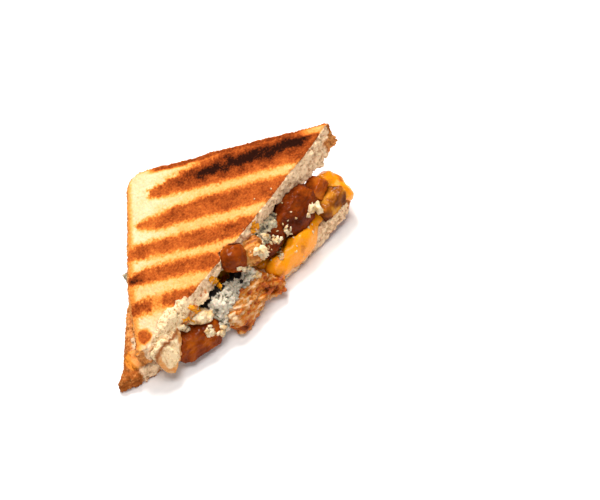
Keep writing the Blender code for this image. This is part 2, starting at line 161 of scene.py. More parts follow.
def select_only(piece: bpy.types.Object) -> None:
    """Makes the piece the only selected object, and the active one.

    Args:
        piece: the object.
    """
    bpy.ops.object.select_all(action="DESELECT")
    piece.select_set(True)
    bpy.context.view_layer.objects.active = piece


def apply_modifiers(piece: bpy.types.Object) -> None:
    """Applies the piece's modifiers in order.

    Args:
        piece: the object.
    """
    select_only(piece)
    for modifier in list(piece.modifiers):
        bpy.ops.object.modifier_apply(modifier=modifier.name)


def rows_of(piece: bpy.types.Object, what: str) -> np.ndarray:
    """The places ("co") or normals ("normal") of the piece's points, one row each.

    Args:
        piece: the object.
        what: "co" for places or "normal" for normals.

    Returns:
        X, Y and Z of each point, one row each.
    """
    flat = np.empty(len(piece.data.vertices) * 3)
    piece.data.vertices.foreach_get(what, flat)
    return flat.reshape(-1, 3)


def write_points(piece: bpy.types.Object, points: np.ndarray) -> None:
    """Moves the piece's points to the given rows."""
    piece.data.vertices.foreach_set("co", points.reshape(-1))
    piece.data.update()


def write_mask(piece: bpy.types.Object, name: str, values: np.ndarray) -> None:
    """Stores one number for each point, which the materials read by name."""
    mask = piece.data.attributes.get(name) or piece.data.attributes.new(name, "FLOAT", "POINT")
    mask.data.foreach_set("value", values.astype(np.float32))


def read_mask(piece: bpy.types.Object, name: str) -> np.ndarray:
    """The numbers stored by write_mask, or ones if there are none of that name.

    Args:
        piece: the object.
        name: the mask's name.

    Returns:
        One number for each point.
    """
    mask = piece.data.attributes.get(name)
    values = np.ones(len(piece.data.vertices), np.float32)
    if mask:
        mask.data.foreach_get("value", values)
    return values


class Recipe:
    """Writes the nodes of one food's material."""

    def __init__(self, name: str) -> None:
        """Starts a material whose shader is a Principled BSDF.

        Args:
            name: the material's name.
        """
        self.material = bpy.data.materials.new(name)
        self.material.use_nodes = True
        self.tree = self.material.node_tree
        self.shader = self.tree.nodes["Principled BSDF"]
        self.place = self.tree.nodes.new("ShaderNodeTexCoord").outputs["Object"]

    def _join(self, target: bpy.types.NodeSocket, value: object) -> None:
        """Links a socket to the target, or sets the target to a plain value.

        Args:
            target: an input of a node.
            value: a socket or a plain value.
        """
        if isinstance(value, bpy.types.NodeSocket):
            self.tree.links.new(value, target)
        else:
            target.default_value = value

    def stretched(self, scale: Spot, turn: float = 0.0) -> bpy.types.NodeSocket:
        """Object coordinates turned about Z by turn degrees, then scaled.

        Args:
            scale: factors along X, Y and Z; a low one draws the pattern out.
            turn: in degrees.

        Returns:
            The vector socket.
        """
        turning = self.tree.nodes.new("ShaderNodeMapping")
        turning.inputs["Rotation"].default_value = (0, 0, math.radians(turn))
        turning.inputs["Scale"].default_value = scale
        self._join(turning.inputs["Vector"], self.place)
        return turning.outputs["Vector"]

    def cloud(
        self,
        size: float,
        detail: float = 3.0,
        roughness: float = 0.55,
        vector: bpy.types.NodeSocket | None = None,
        warp: float = 0.0,
    ) -> bpy.types.NodeSocket:
        """Soft noise.

        Args:
            size: width of a patch in metres.
            detail: number of finer layers.
            roughness: strength of the finer layers.
            vector: coordinates; plain object coordinates if left out.
            warp: distortion of the patches.

        Returns:
            The socket with values about 0.5.
        """
        node = self.tree.nodes.new("ShaderNodeTexNoise")
        self._join(node.inputs["Vector"], vector or self.place)
        node.inputs["Scale"].default_value = 1 / size
        node.inputs["Detail"].default_value = detail
        node.inputs["Roughness"].default_value = roughness
        node.inputs["Distortion"].default_value = warp
        return node.outputs["Fac"]

    def mask(self, name: str) -> bpy.types.NodeSocket:
        """A number that write_mask stored on the mesh.

        Args:
            name: the mask's name.

        Returns:
            The socket with the mask's values.
        """
        node = self.tree.nodes.new("ShaderNodeAttribute")
        node.attribute_name = name
        return node.outputs["Fac"]

    def sum(self, *terms: tuple[object, float]) -> bpy.types.NodeSocket:
        """Adds sockets or numbers, each times its factor.

        Args:
            terms: pairs of a socket or number and its factor.

        Returns:
            The socket with the total.
        """
        total: object = 0.0
        for value, factor in terms:
            node = self.tree.nodes.new("ShaderNodeMath")
            node.operation = "MULTIPLY_ADD"
            self._join(node.inputs[0], value)
            node.inputs[1].default_value = factor
            self._join(node.inputs[2], total)
            total = node.outputs[0]
        return total

    def product(self, first: object, second: object) -> bpy.types.NodeSocket:
        """Multiplies two sockets or numbers.

        Args:
            first, second: sockets or numbers.

        Returns:
            The socket with the product.
        """
        node = self.tree.nodes.new("ShaderNodeMath")
        node.operation = "MULTIPLY"
        self._join(node.inputs[0], first)
        self._join(node.inputs[1], second)
        return node.outputs[0]

    def step(self, value: object, low: float, high: float) -> bpy.types.NodeSocket:
        """A smooth step from 0 at low to 1 at high.

        Args:
            value: a socket or a number.
            low, high: where the step starts and ends.

        Returns:
            The socket with values from 0 to 1.
        """
        node = self.tree.nodes.new("ShaderNodeMapRange")
        node.interpolation_type = "SMOOTHSTEP"
        self._join(node.inputs["Value"], value)
        node.inputs["From Min"].default_value = low
        node.inputs["From Max"].default_value = high
        return node.outputs["Result"]

    def frayed(self, name: str, grain: object, amount: float, span: Span) -> bpy.types.NodeSocket:
        """A stored mask whose edge is frayed by noise.

        Args:
            name: the mask's name.
            grain: noise with values about 0.5.
            amount: how far the noise shifts the edge.
            span: the levels between which the result goes from 0 to 1.

        Returns:
            The socket with values from 0 to 1.
        """
        level = self.sum((self.mask(name), 1.0), (grain, amount), (1.0, -amount / 2))
        return self.step(level, *span)

    def shades(self, value: object, stops: Sequence[tuple[float, Colour]]) -> bpy.types.NodeSocket:
        """Colours along a ramp.

        Args:
            value: where on the ramp, from 0 to 1.
            stops: places and their colours.

        Returns:
            The colour socket.
        """
        node = self.tree.nodes.new("ShaderNodeValToRGB")
        ramp = node.color_ramp
        while len(ramp.elements) < len(stops):
            ramp.elements.new(0.5)
        for element, (place, colour) in zip(ramp.elements, stops):
            element.position = place
            element.color = colour
        self._join(node.inputs["Fac"], value)
        return node.outputs["Color"]

    def ramp(self, value: object, span: Span, first: Colour, second: Colour) -> bpy.types.NodeSocket:
        """Goes from the first colour to the second as the value crosses the span."""
        return self.shades(value, [(span[0], first), (span[1], second)])

    def blend(self, factor: object, first: object, second: object) -> bpy.types.NodeSocket:
        """Goes from the first colour to the second as factor goes from 0 to 1.

        Args:
            factor: a socket or a number from 0 to 1.
            first, second: colours or their sockets.

        Returns:
            The colour socket.
        """
        node = self.tree.nodes.new("ShaderNodeMix")
        node.data_type = "RGBA"
        self._join(node.inputs["Factor"], factor)
        colours = [socket for socket in node.inputs if socket.type == "RGBA"]
        self._join(colours[0], first)
        self._join(colours[1], second)
        return next(socket for socket in node.outputs if socket.type == "RGBA")

    def bump(self, height: object, distance: float, strength: float = 1.0) -> None:
        """Roughens the shading by a height in units of distance metres.

        Args:
            height: a socket.
            distance: in metres, for a height of 1.
            strength: how much of the bump shows.
        """
        node = self.tree.nodes.new("ShaderNodeBump")
        node.inputs["Distance"].default_value = distance
        node.inputs["Strength"].default_value = strength
        self._join(node.inputs["Height"], height)
        self.tree.links.new(node.outputs["Normal"], self.shader.inputs["Normal"])

    def set(self, **values: object) -> None:
        """Sets or links the shader's inputs; underscores stand for spaces."""
        for name, value in values.items():
            self._join(self.shader.inputs[name.replace("_", " ")], value)


@dataclass(frozen=True)
class GrilledBread:
    """White bread, toasted by ridged plates.

    It reads the masks toast, crumb, crust, stain, torn, ripped, browned and raised, and the mask of painted
    shade in the fold; raised also paints the relief's hollows a little darker, as shade.
    """

    name: str = "grilled_bread"
    pale: Colour = tone(236, 198, 158)
    gold: Colour = tone(238, 170, 98)
    amber: Colour = tone(218, 132, 52)
    brown: Colour = tone(182, 88, 32)
    scorched: Colour = tone(128, 52, 14)
    burnt: Colour = tone(38, 12, 4)
    crumb: Colour = tone(248, 213, 172)
    crumb_deep: Colour = tone(184, 136, 96)
    torn: Colour = tone(250, 220, 174)
    torn_deep: Colour = tone(206, 160, 108)
    crust: Colour = tone(220, 148, 82)
    # the baked crust's dark tone, also used as the painted shade in the flap's fold
    crust_dark_and_fold_shade: Colour = tone(158, 84, 32)
    cheese_stain: Colour = tone(216, 132, 44)

    fine_size: float = 0.0012
    patch_size: float = 0.0042
    broad_size: float = 0.0160
    pore_size: float = 0.0011
    hole_size: float = 0.0030
    crust_size: float = 0.0026
    speckle: float = 0.16  # how speckled pale bread is
    toast_speckle: float = 0.44  # how much more so fully toasted bread is
    toast_stops: Sequence[float] = (0.0, 0.16, 0.34, 0.54, 0.76, 1.0)
    crumb_stops: Span = (0.34, 0.54)
    torn_stops: Span = (0.34, 0.50)
    crust_stops: Span = (0.36, 0.58)
    crumb_edge: Span = (0.35, 0.65)
    crust_edge: Span = (0.30, 0.70)
    stain_edge: Span = (0.30, 0.75)
    # how dark the painted shade in the fold is
    fold_shade_depth: float = 0.95
    stain_depth: float = 0.85
    bump_depth: float = 0.0004

    def skin(self, recipe: Recipe, fine: object, patch: object) -> bpy.types.NodeSocket:
        """The toasted skin's colour, from pale to burnt, with specks.

        Args:
            recipe: the material's nodes.
            fine: noise as fine as the specks.
            patch: noise with wider patches.

        Returns:
            The colour socket.
        """
        toast = recipe.mask("toast")
        speck = recipe.sum((fine, 1.5), (patch, 0.5), (1.0, -1.0))
        speckled = recipe.product(speck, recipe.sum((toast, self.toast_speckle), (1.0, self.speckle)))
        broad = recipe.cloud(self.broad_size, 2, 0.5)
        level = recipe.sum((toast, 1.0), (speckled, 1.0), (broad, 0.16), (1.0, -0.08))
        colours = (self.pale, self.gold, self.amber, self.brown, self.scorched, self.burnt)
        return recipe.shades(level, list(zip(self.toast_stops, colours)))

    def inside(self, recipe: Recipe, pores: object, broken: object) -> bpy.types.NodeSocket:
        """The crumb's colour: cut, or torn open, with painted shade in the fold and a little in the hollows
        of its relief.

        Args:
            recipe: the material's nodes.
            pores: noise as fine as the pores.
            broken: noise as wide as the holes.

        Returns:
            The colour socket.
        """
        raised = recipe.mask("raised")
        # Painted shade: the raised mask lightens the relief's tops and darkens its hollows, in the cut and
        # in the torn crumb.
        cut_level = recipe.sum((broken, 0.7), (pores, 0.3), (raised, 0.035))
        cut = recipe.ramp(cut_level, self.crumb_stops, self.crumb_deep, self.crumb)
        coarse = recipe.product(recipe.mask("ripped"), recipe.sum((pores, 0.8), (1.0, -0.4)))
        torn_level = recipe.sum((broken, 0.7), (pores, 0.3), (coarse, 1.0), (raised, 0.03))
        torn = recipe.ramp(torn_level, self.torn_stops, self.torn_deep, self.torn)
        either = recipe.blend(recipe.mask("torn"), cut, torn)
        # Painted shade: the fold is darkened towards the dark crust colour.
        return recipe.blend(recipe.product(recipe.mask("crease_shade"), self.fold_shade_depth), either, self.crust_dark_and_fold_shade)

    def rim(self, recipe: Recipe) -> bpy.types.NodeSocket:
        """The baked crust's colour, darker where it is browned.

        Args:
            recipe: the material's nodes.

        Returns:
            The colour socket.
        """
        cloud = recipe.cloud(self.crust_size, 4, 0.7)
        level = recipe.sum((cloud, 1.0), (recipe.mask("browned"), -0.14))
        return recipe.ramp(level, self.crust_stops, self.crust_dark_and_fold_shade, self.crust)

    def make(self) -> bpy.types.Material:
        """Builds the material.

        Returns:
            The finished material.
        """
        recipe = Recipe(self.name)
        fine = recipe.cloud(self.fine_size, 3, 0.7)
        patch = recipe.cloud(self.patch_size, 3, 0.6)
        pores = recipe.cloud(self.pore_size, 2, 0.6)
        broken = recipe.cloud(self.hole_size, 3, 0.6)
        opened = recipe.frayed("crumb", fine, 0.5, self.crumb_edge)
        colour = recipe.blend(opened, self.skin(recipe, fine, patch), self.inside(recipe, pores, broken))
        colour = recipe.blend(recipe.frayed("crust", patch, 0.6, self.crust_edge), colour, self.rim(recipe))
        smear = recipe.product(recipe.frayed("stain", patch, 0.7, self.stain_edge), self.stain_depth)
        colour = recipe.blend(smear, colour, self.cheese_stain)
        recipe.set(Base_Color=colour, Roughness=0.9, Subsurface_Weight=0.08, Subsurface_Scale=0.002)
        recipe.set(Specular_IOR_Level=0.05)
        rough = recipe.sum((recipe.mask("crumb"), 0.5), (recipe.mask("ripped"), 0.5))
        crumbly = recipe.product(rough, recipe.sum((pores, 2.4), (broken, 2.0)))
        recipe.bump(recipe.sum((fine, 1.0), (patch, 0.4), (crumbly, 1.0)), self.bump_depth, 0.8)
        return recipe.material


@dataclass(frozen=True)
class MeltedCheese:
    """Orange cheese, melted and set again, with a greasy shine."""

    name: str = "melted_cheese"
    bright: Colour = tone(246, 152, 8)
    deep: Colour = tone(184, 92, 4)
    pale: Colour = tone(248, 184, 60)
    patch_size: float = 0.0090
    fine_size: float = 0.0012
    gloss: Pair = (0.20, 0.42)  # its least and its most roughness
    gloss_stops: Span = (0.35, 0.70)
    bump_depth: float = 0.0003

    def make(self) -> bpy.types.Material:
        """Builds the material.

        Returns:
            The finished material.
        """
        recipe = Recipe(self.name)
        patch = recipe.cloud(self.patch_size, 3, 0.6)
        fine = recipe.cloud(self.fine_size, 3, 0.6)
        stops = [(0.30, self.deep), (0.46, self.bright), (0.66, self.bright), (0.80, self.pale)]
        shine = recipe.ramp(fine, self.gloss_stops, grey(self.gloss[0]), grey(self.gloss[1]))
        recipe.set(Base_Color=recipe.shades(patch, stops), Roughness=shine)
        recipe.set(Subsurface_Weight=0.22, Subsurface_Scale=0.003)
        recipe.set(Specular_IOR_Level=0.25, Coat_Weight=0.15, Coat_Roughness=0.12)
        recipe.bump(recipe.sum((fine, 0.3), (patch, 1.0)), self.bump_depth)
        return recipe.material


@dataclass(frozen=True)
class GlazedChicken:
    """Chicken in a dark, sticky sauce."""

    name: str = "glazed_chicken"
    deep: Colour = tone(76, 22, 1)
    warm: Colour = tone(132, 52, 2)
    lit: Colour = tone(190, 94, 8)
    low: float = 0.26  # the noise level that is deep
    high: float = 0.76  # the noise level that is lit
    patch_size: float = 0.0080
    lump_size: float = 0.0024
    fibre_size: float = 0.0010
    fibre_stretch: Spot = (0.4, 1.0, 1.0)
    fibre_turn: float = 30.0
    bump_depth: float = 0.0007

    def make(self) -> bpy.types.Material:
        """Builds the material.

        Returns:
            The finished material.
        """
        recipe = Recipe(self.name)
        patch = recipe.cloud(self.patch_size, 2, 0.5, warp=0.3)
        along = recipe.stretched(self.fibre_stretch, self.fibre_turn)
        fibre = recipe.cloud(self.fibre_size, 2, 0.6, along)
        level = recipe.sum((patch, 0.9), (fibre, 0.1))
        middle = (self.low + self.high) / 2
        colour = recipe.shades(level, [(self.low, self.deep), (middle, self.warm), (self.high, self.lit)])
        recipe.set(Base_Color=colour, Roughness=0.6, Subsurface_Weight=0.04, Subsurface_Scale=0.002)
        recipe.set(Specular_IOR_Level=0.04, Coat_Weight=0.12, Coat_Roughness=0.08)
        lumps = recipe.cloud(self.lump_size, 3, 0.6)
        recipe.bump(recipe.sum((fibre, 0.4), (lumps, 1.0)), self.bump_depth)
        return recipe.material


@dataclass(frozen=True)
class TornChicken:
    """Pulled chicken: pale meat in strands, with sauce in the gaps and a little painted shade in the
    relief's hollows. It reads raised and sauce.
    """

    name: str = "torn_chicken"
    pale: Colour = tone(222, 182, 138)
    meat: Colour = tone(204, 128, 42)
    sauce: Colour = tone(184, 84, 3)
    deep: Colour = tone(104, 42, 2)
    patch_size: float = 0.0070
    strand_size: float = 0.0018
    strand_stretch: Spot = (0.18, 1.0, 1.0)
    strand_turn: float = -20.0
    bump_depth: float = 0.0006

    def make(self) -> bpy.types.Material:
        """Builds the material.

        Returns:
            The finished material.
        """
        recipe = Recipe(self.name)
        along = recipe.stretched(self.strand_stretch, self.strand_turn)
        strand = recipe.cloud(self.strand_size, 3, 0.6, along, 0.3)
        patch = recipe.cloud(self.patch_size, 3, 0.6)
        raised = recipe.mask("raised")
        sauce = recipe.mask("sauce")
        # The raised mask darkens the relief's hollows: painted shade.
        level = recipe.sum((strand, 0.50), (patch, 0.80), (raised, 0.03), (sauce, -0.30), (1.0, -0.14))
        stops = [(0.26, self.deep), (0.40, self.sauce), (0.52, self.meat), (0.66, self.pale)]
        recipe.set(Base_Color=recipe.shades(level, stops), Roughness=0.5)
        recipe.set(Subsurface_Weight=0.15, Subsurface_Scale=0.002)
        recipe.set(Specular_IOR_Level=0.2, Coat_Weight=0.1, Coat_Roughness=0.2)
        recipe.bump(strand, self.bump_depth)
        return recipe.material


@dataclass(frozen=True)
class BlueCheese:
    """Crumbled blue cheese: chalky white with grey-green veins, and near-black painted shade where it meets
    the slice. It reads the raised mask and the mask of painted shade.
    """

    name: str = "blue_cheese"
    white: Colour = tone(200, 188, 166)
    cream: Colour = tone(226, 213, 190)
    vein: Colour = tone(128, 118, 98)
    vein_dark: Colour = tone(38, 42, 40)
    # near-black painted shade where the lump meets the slice
    painted_shade: Colour = tone(20, 14, 8)
    veined: float = 0.0  # how far the veins spread
    patch_size: float = 0.0055
    fine_size: float = 0.0012
    painted_shade_edge: Span = (0.30, 0.70)
    bump_depth: float = 0.0005

    def make(self) -> bpy.types.Material:
        """Builds the material.

        Returns:
            The finished material.
        """
        recipe = Recipe(self.name)
        patch = recipe.cloud(self.patch_size, 3, 0.6, warp=0.8)
        fine = recipe.cloud(self.fine_size, 4, 0.7)
        raised = recipe.mask("raised")
        # Painted shade: the raised mask darkens the hollows between the lumps.
        level = recipe.sum((patch, 0.60), (fine, 0.25), (raised, 0.075), (1.0, 0.115 - self.veined))
        stops = [(0.30, self.vein_dark), (0.40, self.vein), (0.49, self.white), (0.68, self.cream)]
        colour = recipe.shades(level, stops)
        # Painted shade: near-black where the stored mask says, a little less on raised lumps.
        dark = recipe.sum((recipe.mask("painted_shade"), 1.0), (fine, 0.5), (raised, -0.08), (1.0, -0.25))
        colour = recipe.blend(recipe.step(dark, *self.painted_shade_edge), colour, self.painted_shade)
        recipe.set(Base_Color=colour, Roughness=0.7, Subsurface_Weight=0.15, Subsurface_Scale=0.002)
        recipe.set(Specular_IOR_Level=0.25)
        recipe.bump(fine, self.bump_depth)
        return recipe.material


@dataclass(frozen=True)
class PaleCheese:
    """Small crumbs and shavings of pale cheese."""

    name: str = "pale_cheese"
    light: Colour = tone(240, 216, 178)
    warm: Colour = tone(222, 180, 124)
    patch_size: float = 0.0040
    fine_size: float = 0.0010
    stops: Span = (0.40, 0.58)
    bump_depth: float = 0.0003

    def make(self) -> bpy.types.Material:
        """Builds the material.

        Returns:
            The finished material.
        """
        recipe = Recipe(self.name)
        patch = recipe.cloud(self.patch_size, 3, 0.6)
        colour = recipe.ramp(patch, self.stops, self.warm, self.light)
        recipe.set(Base_Color=colour, Roughness=0.7, Subsurface_Weight=0.15, Subsurface_Scale=0.002)
        recipe.set(Specular_IOR_Level=0.25)
        recipe.bump(recipe.cloud(self.fine_size, 3, 0.6), self.bump_depth)
        return recipe.material


@dataclass
class FinePiece:
    """A fine surface for one solid of the part, which it stands for."""

    node: str
    name: str
    slot: str
    voxel: float = 0.00055
    smooth: int = 4
    reliefs: Sequence[Relief] = ()

    def build(self, nodes: dict[str, bpy.types.Object]) -> bpy.types.Object:
        """Copies the solid, remeshes it finely and gives it its uneven skin.

        Args:
            nodes: the part's solids by name.

        Returns:
            The new piece, riding on the part's body.
        """
        piece = bpy.data.objects.new(self.name, nodes[self.node].data.copy())
        bpy.context.scene.collection.objects.link(piece)
        piece.data.materials.clear()
        select_only(piece)
        bpy.ops.object.mode_set(mode="EDIT")
        bpy.ops.mesh.select_all(action="SELECT")
        bpy.ops.mesh.remove_doubles(threshold=WELD)
        bpy.ops.object.mode_set(mode="OBJECT")
        self.add_to(piece)
        fine = piece.modifiers.new("fine", "REMESH")
        fine.mode = "VOXEL"
        fine.voxel_size = self.voxel
        relax = piece.modifiers.new("relax", "SMOOTH")
        relax.iterations = self.smooth
        apply_modifiers(piece)
        self.shape(piece)
        self.mark(piece)
        raised = np.zeros(len(piece.data.vertices))
        for relief in self.reliefs:
            points = rows_of(piece, "co")
            heights = relief.heights(points) * (read_mask(piece, relief.where) if relief.where else 1.0)
            write_points(piece, points + rows_of(piece, "normal") * heights[:, None])
            raised += heights
        # Bread, blue cheese and pulled chicken paint their hollows darker from this height, as shade.
        write_mask(piece, "raised", (raised - raised.mean()) / raised.std())
        points = rows_of(piece, "co")
        points[:, 2] = np.maximum(points[:, 2], 0.0)
        write_points(piece, points)
        piece.data.shade_smooth()
        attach(piece, BODY)
        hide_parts(self.node)
        LOG.info("%s: %d points", self.name, len(piece.data.vertices))
        return piece

    def add_to(self, piece: bpy.types.Object) -> None:
        """Joins more shapes to the solid before it is remeshed; a plain piece has none."""

    def shape(self, piece: bpy.types.Object) -> None:
        """Moves the remeshed points; a plain piece stays as it is."""

    def mark(self, piece: bpy.types.Object) -> None:
        """Stores the masks that the reliefs and the finish read; a plain piece has none."""


@dataclass(frozen=True)
class Wobble:
    """Soft noise over a slice: how wide its waves are, in metres, a seed, and how high they go."""

    size: float
    seed: float
    height: float = 1.0

    def at(self, places: np.ndarray) -> np.ndarray:
        """The noise at each place, from minus the height to the height."""
        rows = (places / self.size + self.seed).tolist()
        return self.height * np.array([noise.noise(row) for row in rows])


@dataclass(frozen=True)
class GrillBar:
    """One bar of the grill's print.

    Along runs from the crusted corner down one leg, across down the other, both in metres. The bar
    starts at a tip, opens out to its upper and lower edges within the opening, and has a heat.
    """

    start: float
    tip: float
    upper: float
    lower: float
    opening: float
    heat: float
    lower_opening: float = 0.35  # how soon the lower edge is reached, as a share of the opening
    soft: float = 0.0026
    tip_soft: Span = (-0.001, 0.003)

    def heat_at(self, along: np.ndarray, across: np.ndarray) -> np.ndarray:
        """How toasted each point is by this bar.

        Args:
            along: distances along one leg from the crusted corner.
            across: distances along the other leg.

        Returns:
            The heat at each point, from 0 to this bar's heat.
        """
        past = along - self.start
        opened = np.sqrt(np.clip(past / self.opening, 0.0, 1.0))
        sooner = np.sqrt(np.clip(past / (self.lower_opening * self.opening), 0.0, 1.0))
        upper = self.tip + (self.upper - self.tip) * opened
        lower = self.tip + (self.lower - self.tip) * sooner
        inside = ease(-self.soft, self.soft, across - upper) * ease(-self.soft, self.soft, lower - across)
        return self.heat * inside * ease(*self.tip_soft, past)


@dataclass(frozen=True)
class Band:
    """A darker stretch of the toasted face, along the crusted leg.

    It comes up and dies away along the leg, fades off its own line, and has a strength and a share
    of blotches.
    """

    rise: Span
    fall: Span
    off: Span
    strength: float
    blotches: float = 0.0

    def at(self, along: np.ndarray, away: np.ndarray, blotchy: np.ndarray | float = 0.0) -> np.ndarray:
        """Its strength at each point.

        Args:
            along: distances along the leg.
            away: distances off the band's own line.
            blotchy: noise from -1 to 1.

        Returns:
            The toast that the band gives each point.
        """
        lasting = ease(*self.rise, along) * ease(*self.fall, along)
        return lasting * ease(*self.off, away) * (self.strength + self.blotches * blotchy)


@dataclass
class Slice(FinePiece):
    """A slice of bread; its own frame has the cut along X and the crusted corner at +Y."""

    corner: Vector = field(default_factory=lambda: Vector((0, HALF_CUT, 0)))
    turn: Euler = field(default_factory=Euler)
    toasted_side: float = 1.0
    bars: Sequence[GrillBar] = ()

    uneven: Sequence[Wobble] = (Wobble(0.0038, 3.0, 0.0013), Wobble(0.0015, 9.0, 0.0009))
    grain: Wobble = Wobble(0.0009, 19.0, 0.0016)
    patches: Sequence[Wobble] = (Wobble(0.0085, 41.0, 0.26), Wobble(0.0030, 53.0, 0.16))
    skin_wave: Wobble = Wobble(0.004, 15.0, 0.0014)
    skin_deep: float = 0.0030  # how far the baked crust reaches into the cut face
    skin_soft: float = 0.001
    face_up: Span = (0.20, 0.60)  # how far a face turns up to be the toasted one
    side_out: Span = (0.20, 0.55)  # how far a face turns out to be crust
    side_in: Span = (0.012, 0.007)  # how far in from the legs crust still shows
    dark_end: Span = (0.0110, 0.0030)  # along: where the last two bars end darker
    dark_end_across: Span = (0.064, 0.074)
    last_bar: Span = (0.079, 0.084)  # across: where the very last bar starts
    dark_end_heat: float = 0.34
    last_bar_eased: float = 0.7  # how much less its end is darkened
    gap_at: float = 0.0135  # along: a paler gap in the very last bar
    gap_wide: Span = (0.0045, 0.0015)
    gap_across: Span = (0.080, 0.084)
    gap_cool: float = 0.55
    ground: float = 0.04  # the toast between the bars
    golden: float = 0.13  # how much more there is towards the cut
    golden_rise: Span = (0.012, 0.055)
    golden_slant: float = 0.35
    golden_fall: Span = (0.104, 0.088)
    rim_heat: float = 0.30
    rim_wide: float = 0.0035

    def own_frame(self, piece: bpy.types.Object) -> tuple[np.ndarray, np.ndarray]:
        """Places and normals of the piece's points in the slice's own frame.

        Args:
            piece: the slice.

        Returns:
            The places, and the normals, one row for each point.
        """
        axes = np.array(self.turn.to_matrix())
        start = np.array(SLICE_ORIGIN + self.corner)
        places = (rows_of(piece, "co") - start) @ axes + np.array((0, HALF_CUT, 0))
        return places, rows_of(piece, "normal") @ axes

    def legs(self, places: np.ndarray) -> tuple[np.ndarray, np.ndarray]:
        """Distances from the crusted corner along the far leg and along the near leg."""
        reach = places[:, 1] - HALF_CUT
        return (places[:, 0] - reach) / math.sqrt(2), (-places[:, 0] - reach) / math.sqrt(2)

    def toast_at(self, places: np.ndarray) -> np.ndarray:
        """How toasted each place is: the bars, the golden ground between them and the rim.

        Args:
            places: rows in the slice's own frame.

        Returns:
            The toast at each place, from 0 to 1.
        """
        along, across = self.legs(places)
        uneven = sum(wave.at(places) for wave in self.uneven)
        stray = uneven + self.grain.at(places)
        toast = np.zeros(len(places))
        for bar in self.bars:
            toast = np.maximum(toast, bar.heat_at(along + uneven + stray, across + stray))
        toast *= 1 + sum(wave.at(places) for wave in self.patches)
        ends = ease(*self.dark_end, along + uneven) * ease(*self.dark_end_across, across)
        ends *= 1 - self.last_bar_eased * ease(*self.last_bar, across)
        gap = ease(*self.gap_wide, np.abs(along - self.gap_at + uneven)) * ease(*self.gap_across, across)
        toast *= (1 + self.dark_end_heat * ends) * (1 - self.gap_cool * gap)
        nearer_cut = ease(*self.golden_rise, along + self.golden_slant * across)
        golden = self.ground + self.golden * nearer_cut * ease(*self.golden_fall, across)
        rim = self.rim_heat * ease(self.rim_wide, 0.0, np.minimum(along, across))
        return np.clip(np.maximum(toast, rim) + golden * (1 - toast), 0, 1)

    def mark(self, piece: bpy.types.Object) -> None:
        """Stores the toast, crumb and crust masks, and empty ones for the rest.

        Args:
            piece: the slice.
        """
        places, normals = self.own_frame(piece)
        inward = np.minimum(*self.legs(places))
        face = ease(*self.face_up, normals[:, 2] * self.toasted_side)
        side = np.maximum(normals[:, 0] + normals[:, 1], normals[:, 1] - normals[:, 0]) / math.sqrt(2)
        crust = ease(*self.side_out, side) * ease(*self.side_in, inward)
        crumb = (1 - face) * (1 - crust)
        depth = self.skin_deep + self.skin_wave.at(places)
        crust = np.maximum(crust, crumb * ease(depth + self.skin_soft, depth - self.skin_soft, inward))
        write_mask(piece, "toast", self.toast_at(places))
        write_mask(piece, "crumb", crumb)
        write_mask(piece, "crust", crust)
        for name in ("stain", "torn", "ripped", "browned", "crease_shade"):
            write_mask(piece, name, np.zeros(len(places)))
        write_mask(piece, "holes", crumb)
        self.mark_more(piece, places, normals)
        write_mask(piece, "skin", 1 - read_mask(piece, "crumb"))

    def mark_more(self, piece: bpy.types.Object, places: np.ndarray, normals: np.ndarray) -> None:
        """Changes the masks where one slice differs from the other."""


